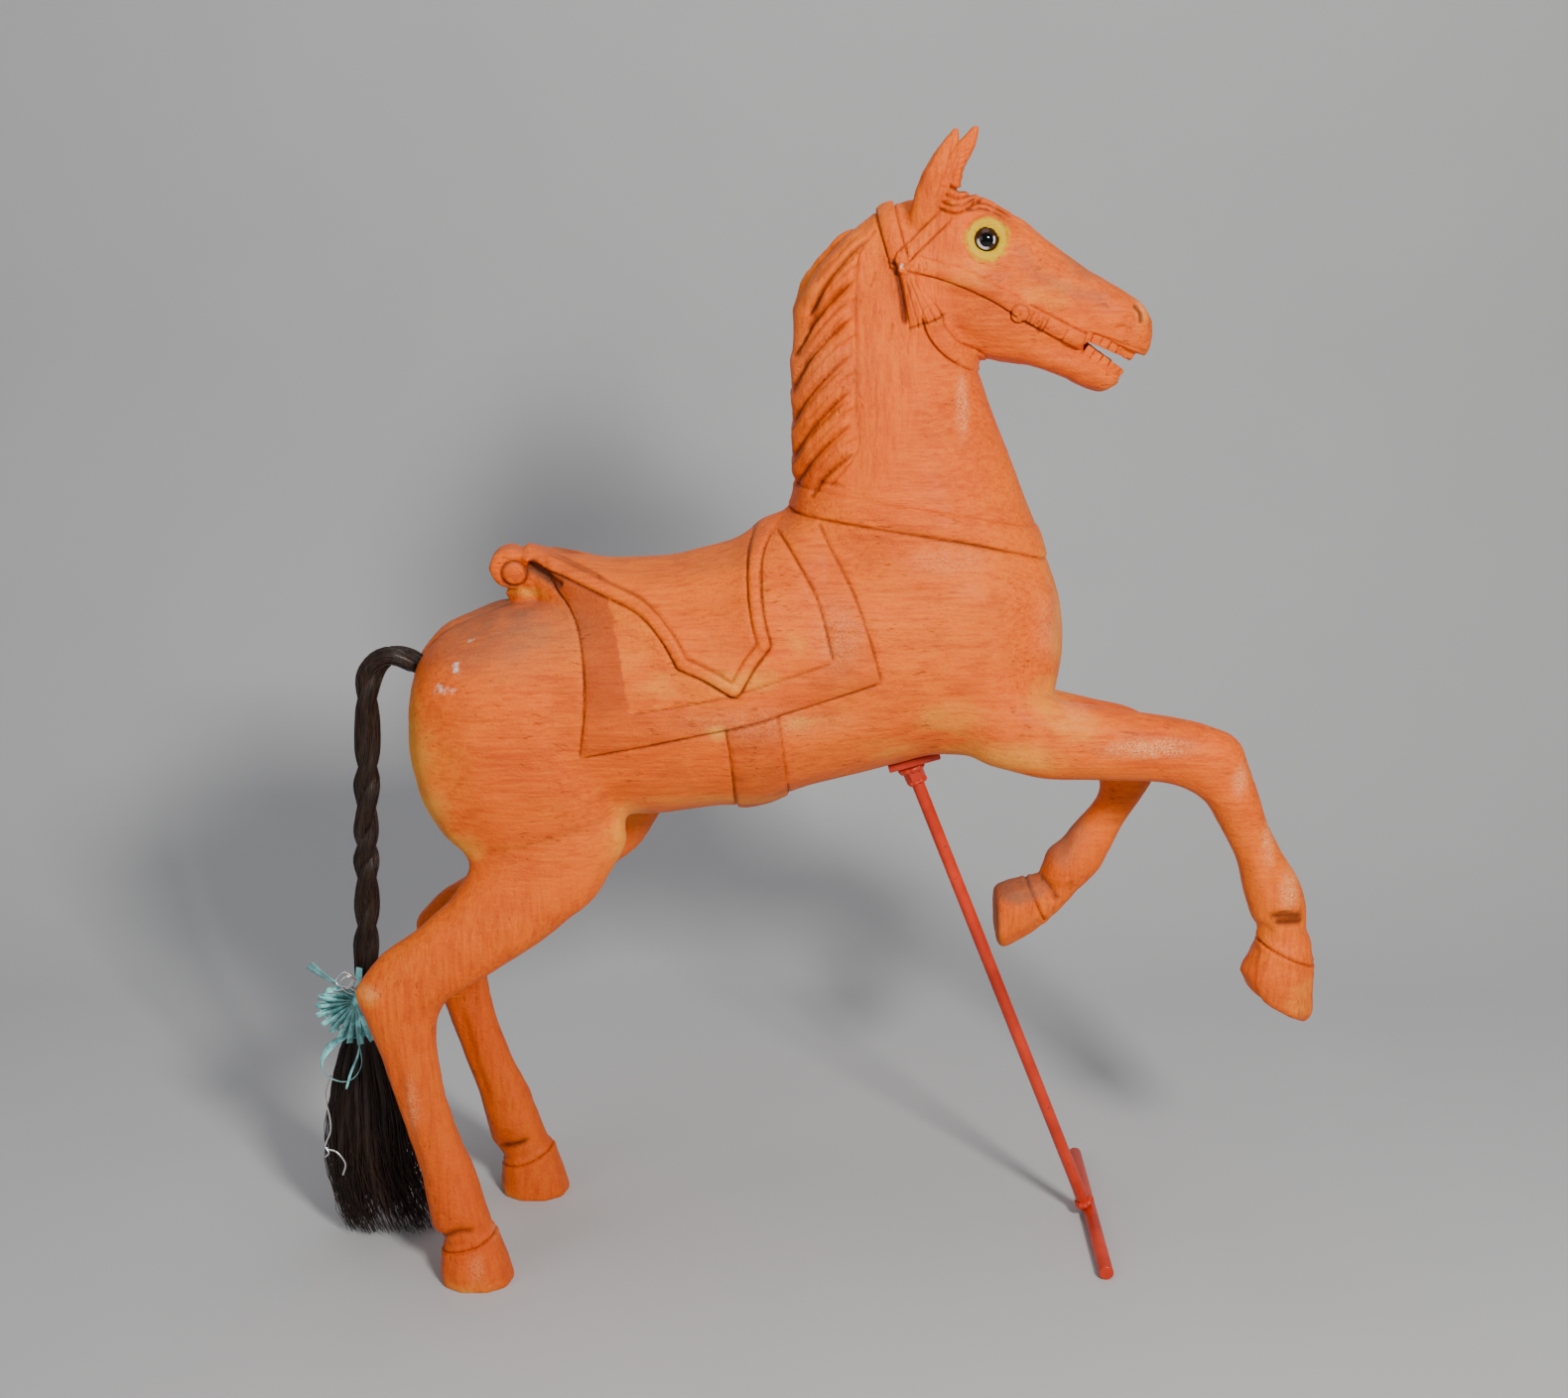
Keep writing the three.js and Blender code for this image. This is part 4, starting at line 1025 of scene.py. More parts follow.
# %% Worn edge group
edge_tree, g, g_in, g_out = new_group(
    "worn_patch", [("Vector", VECTOR, None), ("Mask", NUMBER, 0.0), ("Scale", NUMBER, 60.0),
                   ("Breakup", NUMBER, 0.5)], [("Mask", NUMBER)])
rough = g.noise(g_in.outputs["Vector"], g_in.outputs["Scale"], 6, 0.65)
shift = g.times(g.math("SUBTRACT", rough, 0.5), g.times(g_in.outputs["Breakup"], 3.0))
pushed = g.math("ADD", g_in.outputs["Mask"], shift)
kept = g.times(g.span(pushed, 0.05, 0.95), g.span(g_in.outputs["Mask"], 0.0, 0.2))
g.feed(g_out.inputs["Mask"], kept)
print("groups:", [tree.name for tree in (grain_tree, edge_tree)])


# %% Groups placed in a material
def grain(nodes, vector, scale, waviness=0.6):
    node = nodes.add("ShaderNodeGroup", node_tree=grain_tree)
    for name, value in (("Vector", vector), ("Scale", scale), ("Waviness", waviness)):
        nodes.feed(node.inputs[name], value)
    return node.outputs


def patch(nodes, vector, mask, scale=60.0, breakup=0.5):
    node = nodes.add("ShaderNodeGroup", node_tree=edge_tree)
    for name, value in (("Vector", vector), ("Mask", mask), ("Scale", scale), ("Breakup", breakup)):
        nodes.feed(node.inputs[name], value)
    return node.outputs["Mask"]


def new_material(name, **sockets):
    material = bpy.data.materials.new(name)
    material.use_nodes = True
    shader = material.node_tree.nodes["Principled BSDF"]
    for socket, value in sockets.items():
        shader.inputs[socket.replace("_", " ")].default_value = value
    return material, Nodes(material.node_tree), shader


def finish(nodes, principled, colour, roughness, height, strength, distance):
    """Feeds the colour, the roughness and the small bumps of a finish to its shader."""
    bumps = nodes.add("ShaderNodeBump", {"Strength": strength, "Distance": distance, "Height": height})
    nodes.feed(principled.inputs["Base Color"], colour)
    nodes.feed(principled.inputs["Roughness"], roughness)
    nodes.feed(principled.inputs["Normal"], bumps.outputs["Normal"])


# %% [markdown]
# ## Stained wood
# The stain is an orange oil stain under a thin satin varnish. Grain runs along the trunk and the
# head, and up and down the neck and the legs, because each was glued from boards cut that way. Two
# sets of streaks are mixed by a mask, and then come the stain's clouds, a painted shade towards the
# bottom, the darker tack, the worn patches with a painted rim light on the buttock, the painted
# highlights, the painted shade in the cuts, the dust with a painted shade along the face's crest and
# the paint round the eye, from below to above as on the horse.

# %% Wood
STAIN = (0.93, 0.140, 0.001, 1)
STAIN_DEEP = (0.52, 0.052, 0.001, 1)
STAIN_LIGHT = (1.0, 0.22, 0.006, 1)
# Ochre of worn wood, also used for the painted rim light on the buttock.
OCHRE_AND_RIM_LIGHT = (1.0, 0.43, 0.04, 1)
# Colour of the painted highlights.
PAINTED_HIGHLIGHT = (1.0, 0.43, 0.17, 1)
TACK = (0.42, 0.055, 0.006, 1)
# Dark of the pits, and of the painted shade in the cuts.
PIT_AND_CUT_SHADE_DARK = (0.09, 0.012, 0.003, 1)
# Grey of the dust, and of the painted shade along the face's crest.
DUST_AND_SHADE_GREY = (0.20, 0.13, 0.085, 1)
RING_YELLOW = (0.70, 0.47, 0.0, 1)
SCUFF_WHITE = (0.74, 0.71, 0.66, 1)

wood, n, shader = new_material("stained_wood", Specular_IOR_Level=0.2, Coat_Weight=0.02,
                               Coat_Roughness=0.3)
where = n.places()


def woody(scale_across, stretch, waviness):
    """Streaks along the trunk and up the neck and legs, mixed by the grain's direction."""
    lying = grain(n, n.stretched(where, (stretch, 1, 1)), scale_across, waviness)
    standing = grain(n, n.stretched(where, (1, 1, stretch)), scale_across, waviness)
    upright = n.mask("upright_grain")
    return {name: n.lerp(upright, lying[name], standing[name]) for name in ("Streaks", "Pores", "Figure")}


broad = woody(34.0, 0.16, 0.8)
fine = woody(240.0, 0.07, 0.3)
clouds = n.noise(where, 7.0, 5, 0.6)
colour = n.mix(n.span(broad["Streaks"], 0.34, 0.66), STAIN_DEEP, STAIN)
colour = n.mix(0.62, colour, STAIN)
colour = n.layer(colour, STAIN_LIGHT, n.span(clouds, 0.45, 0.7), 0.55)
colour = n.layer(colour, STAIN_DEEP, n.span(broad["Figure"], 0.86, 1.0), 0.22)
colour = n.layer(colour, STAIN_DEEP, n.span(fine["Streaks"], 0.5, 0.68), 0.5)
colour = n.layer(colour, STAIN_LIGHT, n.span(fine["Streaks"], 0.5, 0.32), 0.45)
# The stain is darker towards the bottom: a painted shade over the lower legs and hooves.
height = n.add("ShaderNodeSeparateXYZ", {"Vector": where}).outputs[2]
colour = n.layer(colour, STAIN_DEEP, n.span(height, 0.44, 0.22), 0.42)

# %% Tack, wear with a painted rim light, painted highlights, painted shade in the cuts and dust over the stain
tack_mask = patch(n, n.stretched(where, (0.3, 1, 1)), n.mask("tack_stain"), 60.0, 0.4)
colour = n.layer(colour, TACK, tack_mask, 0.7)
# Worn wood, and a painted rim light on the buttock.
worn_and_rim_light_mask = patch(n, n.stretched(where, (0.35, 1, 1)), n.mask("worn_and_rim_light"), 75.0, 0.42)
colour = n.layer(colour, OCHRE_AND_RIM_LIGHT, worn_and_rim_light_mask, 0.72)
dusk = n.span(n.noise(where, 13.0, 4, 0.7), 0.52, 0.75)
colour = n.layer(colour, TACK, dusk, 0.42)
pit_field = n.lerp(n.mask("upright_grain"), n.noise(n.stretched(where, (0.3, 1, 1)), 260.0, 2, 0.5),
                   n.noise(n.stretched(where, (1, 1, 0.3)), 260.0, 2, 0.5))
pits = n.times(n.span(pit_field, 0.62, 0.72), n.span(n.noise(where, 18.0, 3), 0.42, 0.62))
colour = n.layer(colour, PIT_AND_CUT_SHADE_DARK, pits, 0.4)
tilted = n.add("ShaderNodeMapping", {"Vector": where, "Rotation": (0, 0.12, 0)}).outputs[0]
scratch_field = n.noise(n.stretched(tilted, (0.05, 1, 1)), 190.0, 1, 0.4)
scratches = n.times(n.span(scratch_field, 0.71, 0.76), n.span(n.noise(where, 9.0, 2), 0.5, 0.62))
colour = n.layer(colour, STAIN_LIGHT, scratches, 0.55)
# Painted highlights: speckled light patches laid over the stain.
highlight_speckle = n.times(n.span(n.noise(where, 430.0, 4, 0.75), 0.40, 0.60),
                  n.span(n.noise(where, 60.0, 3), 0.2, 0.5))
colour = n.layer(colour, PAINTED_HIGHLIGHT, n.times(n.mask("painted_highlight"), highlight_speckle), 0.85)
# Painted shade in the cuts.
colour = n.layer(colour, PIT_AND_CUT_SHADE_DARK, n.mask("painted_shade_in_cuts"), 0.85)
# Dust, and a painted shade along the face's crest.
dust_clouds = n.span(n.noise(where, 30.0, 5, 0.65), 0.35, 0.65)
dust_and_shade_broken = n.times(n.mask("dust_and_shade"), n.lerp(dust_clouds, 0.55, 1.0))
colour = n.layer(colour, DUST_AND_SHADE_GREY, dust_and_shade_broken, 0.75)
ring_mask = patch(n, where, n.mask("eye_ring"), 190.0, 0.75)
colour = n.layer(colour, RING_YELLOW, ring_mask, 0.92)
scuff_mask = patch(n, where, n.mask("scuff"), 180.0, 1.0)
colour = n.mix(scuff_mask, colour, SCUFF_WHITE)

# %% Gloss and bumps of the wood
rough = n.lerp(n.span(fine["Streaks"], 0.35, 0.65), 0.5, 0.38)
rough = n.lerp(n.times(worn_and_rim_light_mask, 0.5), rough, 0.55)
rough = n.lerp(n.mask("painted_highlight"), rough, 0.27)
rough = n.lerp(dust_and_shade_broken, rough, 0.8)
orange_peel = n.noise(where, 300.0, 4, 0.7)
bumps = n.math("ADD", n.times(fine["Streaks"], 0.7), n.times(fine["Pores"], -0.3))
bumps = n.math("ADD", bumps, n.times(orange_peel, 1.6))
bumps = n.math("ADD", bumps, n.times(pits, -0.8))
finish(n, shader, colour, rough, bumps, 0.9, 0.0011)
figure.data.materials.append(wood)
print("wood nodes:", len(wood.node_tree.nodes))

# %% [markdown]
# ## Horsehair tail
# The tail is real hair. A hank is pegged into the rump, twisted into a rope of two strands and tied
# with ribbon, and below the bow it hangs free to the floor. Hair could be a particle system, but
# particles don't belong to a mesh. Here every strand is a curve with a round section, turned into a
# mesh: two thick ones for the rope, broad locks that fill the tuft, and fine hairs over both.

# %% Curves turned into a mesh
TAIL_ROUTE = [(-418, 733), (-442, 745), (-461, 746), (-478, 732), (-486, 706), (-489, 640),
              (-496, 540), (-500, 450), (-505, 370), (-512, 312)]
random = np.random.default_rng(7)


def strands(name, lines, radii, resolution=0, section=None):
    """Many hairs in one piece. Each line is an array of places in mm, and each has its own radii."""
    curve = bpy.data.curves.new(name, "CURVE")
    curve.dimensions = "3D"
    curve.use_fill_caps = True
    if section is None:
        curve.bevel_depth = 0.001
        curve.bevel_resolution = resolution
    else:
        curve.bevel_mode = "OBJECT"
        curve.bevel_object = section
    for line, radius in zip(lines, radii):
        spline = curve.splines.new("POLY")
        spline.points.add(len(line) - 1)
        places = (np.asarray(line) + BENCH) / 1000
        spline.points.foreach_set("co", np.column_stack([places, np.ones(len(line))]).ravel())
        spline.points.foreach_set("radius", np.broadcast_to(radius, len(line)).astype(float))
    piece = bpy.data.objects.new(name, curve)
    bpy.context.scene.collection.objects.link(piece)
    pick(piece)
    bpy.ops.object.convert(target="MESH")
    piece = bpy.context.active_object
    bpy.ops.object.shade_smooth()
    return piece


def join_into(name, pieces):
    """Several pieces made one, under one name."""
    bpy.ops.object.select_all(action="DESELECT")
    for piece in pieces:
        piece.select_set(True)
    bpy.context.view_layer.objects.active = pieces[0]
    bpy.ops.object.join()
    pieces[0].name = name
    pieces[0].data.name = name
    return pieces[0]


# %% [markdown]
# Two thick strands wind round one route, out of the rump, over and down to the bow. The twist is
# uneven, tighter and looser by turns, as in hair that was twisted by hand.

# %% The twisted rope
ROPE_STEPS = 170
ROPE_TURNS = 4.2
STRAND_OFFSET = 4.4
STRAND_RADIUS = 9.6

route = along_route([(x, 0, z) for x, z in TAIL_ROUTE], ROPE_STEPS)
tangent = np.gradient(route, axis=0)
tangent /= np.linalg.norm(tangent, axis=1)[:, None]
sideways = np.array([0.0, 1.0, 0.0])
outward = np.cross(tangent, sideways)
share = np.linspace(0, 1, ROPE_STEPS)


def wound(turn, distance, places=route, shares=share):
    """A line wound round the tail's route, starting a part of a turn ahead."""
    uneven = shares + 0.035 * np.sin(9 * shares + 1) + 0.012 * np.sin(31 * shares)
    angle = 2 * math.pi * (ROPE_TURNS * uneven + turn)
    index = np.clip((shares * (ROPE_STEPS - 1)).round().astype(int), 0, ROPE_STEPS - 1)
    offset = np.cos(angle)[:, None] * sideways + np.sin(angle)[:, None] * outward[index]
    return places + offset * np.asarray(distance)[..., None]


slim = 0.84 + 0.18 * smoothstep(0, 0.12, share) - 0.2 * smoothstep(0.9, 1, share)
rope = [strands(f"rope {turn}", [wound(turn, STRAND_OFFSET * slim)], [STRAND_RADIUS * slim], 5)
        for turn in (0, 0.5)]
print("rope faces:", sum(len(piece.data.polygons) for piece in rope))

# %% [markdown]
# Short fine hairs lie along both strands, some of them a little loose, so that the rope's outline is
# broken and its gloss is streaked.

# %% Fine hairs laid along the rope
FINE_HAIRS = 230  # on each strand
HAIR_POINTS = 14

fine_lines = []
fine_radii = []
for turn in (0, 0.5):
    for _ in range(FINE_HAIRS):
        start = random.uniform(-0.05, 0.85)
        shares = np.linspace(max(start, 0), min(start + random.uniform(0.12, 0.3), 1), HAIR_POINTS)
        centre = np.column_stack([np.interp(shares, share, wound(turn, STRAND_OFFSET * slim)[:, axis])
                                  for axis in range(3)])
        around = random.uniform(0, 2 * math.pi) + random.uniform(-1.2, 1.2) * (shares - shares[0]) / 0.2
        index = (shares * (ROPE_STEPS - 1)).round().astype(int)
        lift = STRAND_RADIUS * np.interp(shares, share, slim) + random.uniform(-0.4, 0.9)
        away = np.cos(around)[:, None] * sideways + np.sin(around)[:, None] * outward[index]
        fine_lines.append(centre + away * lift[:, None])
        fine_radii.append(random.uniform(0.7, 1.3) * np.sin(np.linspace(0.25, math.pi - 0.1, HAIR_POINTS)))
hairs_on_rope = strands("hairs on the rope", fine_lines, fine_radii)
print("hairs on the rope:", len(fine_lines))

# %% [markdown]
# Below the bow the hair spreads like a brush. Its outline is given as a few widths and depths. Broad
# locks fill the inside, so that the light can't shine through, and single hairs cover them.

# %% The loose tuft
LOCKS = 60
LOCK_POINTS = 18
LOOSE_HAIRS = 900
GOLDEN_ANGLE = 2.399963  # turns that never line up, so that the locks fill the tuft evenly
LOWEST = 9  # how high the longest hairs end above the floor, in mm
TUFT = [  # height, middle, half of the width, half of the depth
    (318, -512, 8, 8), (285, -513, 15, 12), (235, -514, 32, 22), (170, -515, 46, 29),
    (100, -515, 51, 32), (50, -510, 48, 30), (22, -503, 46, 27), (9, -497, 45, 25),
]
heights, middles, halves, depths = (np.array(column, float) for column in zip(*TUFT))


def hanging(u, v, end, count, wave):
    """A hair from the knot down, at a steady share of the tuft's width and depth."""
    z = np.linspace(heights[0], end, count)
    falling = (heights[0] - z) / heights[0]
    middle, half, depth = (np.interp(-z, -heights, values) for values in (middles, halves, depths))
    x = middle + u * half
    y = v * depth
    phase = random.uniform(0, 2 * math.pi, 2)
    pace = random.uniform(1.5, 3.5)
    x += wave * falling * np.sin(2 * math.pi * pace * falling + phase[0])
    y += 0.7 * wave * falling * np.sin(2 * math.pi * pace * falling + phase[1])
    return np.column_stack([x, y, z])


locks = []
lock_radii = []
thickness = np.interp(np.linspace(0, 1, LOCK_POINTS), (0, 0.15, 0.55, 0.85, 1), (3, 5.2, 7, 4.5, 0.5))
for i in range(LOCKS):
    reach = math.sqrt((i + 0.5) / LOCKS) * 0.86
    u, v = reach * math.cos(i * GOLDEN_ANGLE), reach * math.sin(i * GOLDEN_ANGLE)
    locks.append(hanging(u, v, random.uniform(14, 85), LOCK_POINTS, 2.5))
    lock_radii.append(thickness)
tuft_locks = strands("tuft locks", locks, lock_radii, 1)

loose = []
loose_radii = []
for _ in range(LOOSE_HAIRS):
    reach = math.sqrt(random.uniform(0.25, 1.12))
    angle = random.uniform(0, 2 * math.pi)
    u, v = reach * math.cos(angle), reach * math.sin(angle)
    end = LOWEST if random.uniform() < 0.35 else random.uniform(LOWEST, 90)
    line = hanging(u, v, end, HAIR_POINTS, random.uniform(1, 6))
    swept = random.uniform(0, 1) ** 2 * 46 * smoothstep(150, 8, line[:, 2]) ** 1.5
    line[:, 0] += swept * (1 if u > -0.1 else -0.12)
    line[:, 2] = np.maximum(line[:, 2], LOWEST)
    loose.append(line)
    loose_radii.append(random.uniform(0.45, 0.95) * np.linspace(1, 0.5, HAIR_POINTS))
tuft_hairs = strands("tuft hairs", loose, loose_radii)
tail = join_into("horsehair_tail", [*rope, hairs_on_rope, tuft_locks, tuft_hairs])
print("tail faces:", len(tail.data.polygons))
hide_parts("tail")
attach(tail, "root")

# %% [markdown]
# ## Teeth
# The teeth are small square blocks that the carver left standing behind the lips. One block is
# modelled from a cube with its edges rounded, and copied along the arch of each jaw; each copy is a
# mesh of its own and is turned and leaned a little, since they were cut by hand.

# %% One tooth
TOOTH = (0.0094, 0.0100, 0.0132)

bpy.ops.object.select_all(action="DESELECT")
bpy.ops.mesh.primitive_cube_add(size=1)
tooth = bpy.context.active_object
tooth.scale = TOOTH
seat(tooth)
bpy.ops.object.mode_set(mode="EDIT")
bpy.ops.mesh.select_all(action="SELECT")
bpy.ops.mesh.bevel(offset=0.0011, segments=3, affect="EDGES")
bpy.ops.object.mode_set(mode="OBJECT")
bpy.ops.object.shade_smooth_by_angle(angle=math.radians(50))

# %% The two arches
UPPER_HALF = [(331, 20, 1119.5), (348, 22, 1113.5), (366, 20, 1106.5), (380, 13, 1099.5), (385, 0, 1096.5)]
LOWER_HALF = [(334, 16, 1102.5), (348, 19, 1092.5), (361, 17, 1083.5), (370, 10, 1076.5), (373, 0, 1074.5)]


def whole_arch(half):
    """An arch from the right cheek round the front to the left, from its left half."""
    return [(x, -y, z) for x, y, z in half] + half[-2::-1]


random = np.random.default_rng(11)
teeth = []
for half, count, lean in ((UPPER_HALF, 14, 0.42), (LOWER_HALF, 12, 0.62)):
    spots = along_route(whole_arch(half), 200)
    lengths = np.concatenate([[0], np.cumsum(np.linalg.norm(np.diff(spots, axis=0), axis=1))])
    for i in range(count):
        at = lengths[-1] * (i + 0.5) / count
        spot = np.array([np.interp(at, lengths, spots[:, axis]) for axis in range(3)])
        ahead = np.array([np.interp(at + 1, lengths, spots[:, axis]) for axis in range(3)]) - spot
        block = tooth.copy()
        block.data = tooth.data.copy()
        bpy.context.scene.collection.objects.link(block)
        turn = Matrix.Rotation(math.atan2(ahead[1], ahead[0]), 4, "Z")
        tip = Matrix.Rotation(lean + random.uniform(-0.06, 0.06), 4, "Y")
        size = Matrix.Diagonal((*random.uniform(0.92, 1.08, 3), 1))
        block.matrix_world = Matrix.Translation((spot + BENCH) / 1000) @ tip @ turn @ size
        seat(block)
        teeth.append(block)
bpy.data.objects.remove(tooth)
teeth = join_into("carved_teeth", teeth)
teeth.data.materials.append(wood)
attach(teeth, "root")
print("teeth faces:", len(teeth.data.polygons))

# %% [markdown]
# ## Satin bow
# A turquoise ribbon is wrapped round the hair and tied in a gift bow: narrow loops fanned from the
# knot, one long loop that hangs down, and a cut end that stands up. Each loop is one strip of ribbon
# that goes out and comes back. A strip is a row of edges across a smooth route, and Solidify gives
# it the thickness of satin.

# %% Strips of ribbon
KNOT = np.array([-514.0, -23.0, 322.0])
SATIN = 0.5  # thickness in mm
ACROSS = 5  # points across the ribbon
VIEWER_SIDE = np.array([0, -1.0, 0])


def strip(name, route, across, width, steps=26):
    """A ribbon along a route. across is the direction of its width at both ends and between."""
    line = along_route(route, steps)
    shares = np.linspace(0, 1, steps)
    places = np.linspace(0, 1, len(across))
    across = np.array(across, float)
    way = np.column_stack([np.interp(shares, places, across[:, axis]) for axis in range(3)])
    forward = np.gradient(line, axis=0)
    forward /= np.linalg.norm(forward, axis=1)[:, None]
    way -= forward * (way * forward).sum(axis=1)[:, None]
    way /= np.linalg.norm(way, axis=1)[:, None]
    wide = np.interp(shares, np.linspace(0, 1, len(np.atleast_1d(width))), np.atleast_1d(width))
    columns = np.linspace(-0.5, 0.5, ACROSS)
    points = []
    faces = []
    for i in range(steps):
        for share_across in columns:
            cup = (1 - (2 * share_across) ** 2) * 0.06 * wide[i]
            lift = np.cross(forward[i], way[i]) * cup
            points.append((line[i] + way[i] * share_across * wide[i] + lift + BENCH) / 1000)
    for i in range(steps - 1):
        for j in range(len(columns) - 1):
            a = i * len(columns) + j
            faces.append((a, a + 1, a + 1 + len(columns), a + len(columns)))
    piece = new_mesh_piece(name, points, faces)
    uv = piece.data.uv_layers.new(name="ribbon")
    length = np.linalg.norm(np.diff(line, axis=0), axis=1).sum() / 1000
    for loop in piece.data.loops:
        row, column = divmod(loop.vertex_index, len(columns))
        uv.data[loop.index].uv = (columns[column] * wide[row] / 1000, row / (steps - 1) * length)
    thick = piece.modifiers.new("satin", "SOLIDIFY")
    thick.thickness = SATIN / 1000
    thick.offset = 0
    apply_all(piece)
    pick(piece)
    bpy.ops.object.shade_smooth()
    return piece


# %% [markdown]
# The loops fan out round the knot. By turns one lies flat to the viewer and the next stands on edge,
# so that the fan shows both broad satin and narrow shadows.

# %% The fanned loops
LOOPS = [  # degrees from +X in the side view, length, width, lean towards the viewer
    (146, 28, 6.25, 4), (158, 40, 7.5, -6), (165, 46, 7.5, -14), (172, 42, 7.5, -8),
    (179, 48, 7.5, -16),
    (187, 44, 7.5, -6), (195, 49, 7.5, -15), (203, 41, 7.5, -9), (211, 47, 7.5, -17),
    (219, 42, 7.5, -7),
    (227, 47, 7.5, -15), (235, 42, 7.5, -9), (243, 47, 7.5, -16), (251, 43, 7.5, -6),
    (259, 50, 7.5, -14),
    (267, 45, 7.5, -8), (275, 51, 7.5, -15), (284, 46, 7.5, -7), (293, 50, 8.75, -13),
    (304, 57, 11.25, -3), (312, 44, 8.75, -10),
]
WIDTHS = np.array([0.3, 0.85, 1, 1, 1, 0.85, 0.3])  # pinched at the knot
pieces = []
for i, (degrees, length, width, lean) in enumerate(LOOPS):
    angle = math.radians(degrees)
    out = np.array([math.cos(angle), 0, math.sin(angle)])
    turn = np.array([-math.sin(angle), 0, math.cos(angle)])
    if i % 2 == 0:
        opening = 3.6 * VIEWER_SIDE
        slant, flat_out = turn - 0.9 * VIEWER_SIDE, turn - 0.6 * VIEWER_SIDE
    else:
        opening = 4.4 * turn + 1.5 * VIEWER_SIDE
        one_way = i % 4 == 1
        slant = 0.75 * VIEWER_SIDE + turn * (0.7 if one_way else -0.7)
        flat_out = VIEWER_SIDE + turn * (0.8 if one_way else -0.5)
    forward = VIEWER_SIDE * lean
    steps_out = ((0, 0, 0), (0.3, 1, 0.3), (0.72, 1.4, 0.7), (1, 0, 1), (0.7, -1.3, 0.7), (0.3, -1, 0.3),
                 (0, 0, 0))
    route_out = [KNOT + reach * length * out + spread * opening - bend * forward
                 for reach, spread, bend in steps_out]
    pieces.append(strip(f"loop {i}", route_out, [slant, flat_out, slant], WIDTHS * width))
print("loops:", len(pieces))

# %% The long loop, the ends and the wrap
pieces.append(strip("long loop", [
    (-516, -26, 312), (-529, -30, 282), (-549, -32, 266), (-560, -32, 246), (-556, -33, 231),
    (-545, -33, 223), (-532, -34, 221), (-519, -35, 229), (-511, -35, 245), (-512, -34, 266),
    (-515, -27, 300),
], [(0.6, -0.6, 0.5), (0.9, -0.4, 0.2), (0, -1, 0.4), (0.2, -0.9, 0.2), (0.4, -0.8, 0)],
    [8, 11, 12, 10, 6, 6, 5, 5], 44))
pieces.append(strip("standing end", [(-515, -24, 326), (-527, -26, 340), (-543, -27, 350), (-558, -28, 362),
                                     (-568, -28, 371)],
                    [(0.5, -0.6, 0.7), (0.4, -0.8, 0.6), (0.5, -0.5, 0.8)], [7, 12, 14, 16, 17], 22))
pieces.append(strip("short end", [(-514, -22, 326), (-514, -20, 338), (-512, -17, 352), (-511, -15, 362)],
                    [(1, -0.3, 0), (0.9, -0.5, 0)], [7, 10, 9], 14))
pieces.append(strip("thin end", [(-514, -27, 318), (-510, -36, 292), (-513, -38, 262), (-524, -37, 234),
                                 (-531, -36, 212)],
                    [(1, -0.2, 0), (0.5, -0.8, 0.2), (1, 0, 0)], [3, 3, 3.5, 2.5], 26))
WRAP_RADIUS = 13.5
angles = np.linspace(0, 2 * math.pi, 26)
round_the_hair = np.column_stack([-513 + WRAP_RADIUS * np.cos(angles), WRAP_RADIUS * np.sin(angles),
                                  321 + 1.5 * np.sin(angles)])
pieces.append(strip("wrap", round_the_hair, [(0, 0, 1), (0, 0, 1)], 13, 50))

# %% The knot
bpy.ops.object.select_all(action="DESELECT")
bpy.ops.mesh.primitive_ico_sphere_add(subdivisions=4, radius=0.0075, location=place(*KNOT))
knot = bpy.context.active_object
knot.scale = (0.95, 0.8, 1.1)
seat(knot)
knot.data.uv_layers[0].name = "ribbon"
bpy.ops.object.shade_smooth()
bow = join_into("satin_bow", [*pieces, knot])
print("bow faces:", len(bow.data.polygons))
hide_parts("ribbon_bow")
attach(bow, "root")

# %% [markdown]
# ## Silver thread
# A thin tinsel thread is tied in with the ribbon. It curls over the bow and hangs down beside the
# tuft with a small knot in it.

# %% Curls of the thread
CURLS = [
    [(-515, -25, 330), (-516, -30, 340), (-536, -31, 348), (-534, -30, 356), (-526, -31, 363),
     (-516, -32, 356), (-521, -33, 345), (-529, -31, 341), (-541, -28, 337)],
    [(-517, -25, 332), (-524, -33, 338), (-531, -35, 350), (-522, -34, 359), (-512, -30, 350),
     (-518, -27, 338)],
    [(-549, -33, 228), (-553, -30, 221), (-559, -28, 199), (-554, -32, 173), (-554, -33, 154),
     (-562, -30, 131),
     (-548, -33, 126), (-538, -34, 111), (-542, -33, 95)],
    [(-562, -30, 131), (-558, -32, 124), (-563, -31, 118)],
]
curls = [along_route(curl, 60 if len(curl) > 4 else 16) for curl in CURLS]
thread = strands("silver_thread", curls, [1.25] * len(curls), 2)
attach(thread, "root")

# %% [markdown]
# ## Glass eyes
# Each eye is a glass half ball, painted behind: a black pupil, a dark brown rim and a pale crescent.
# A smooth ball in the solid's place is cut flat behind, where it sits in the wood. It carries those
# rings, and a clear coat gives the wet gloss.

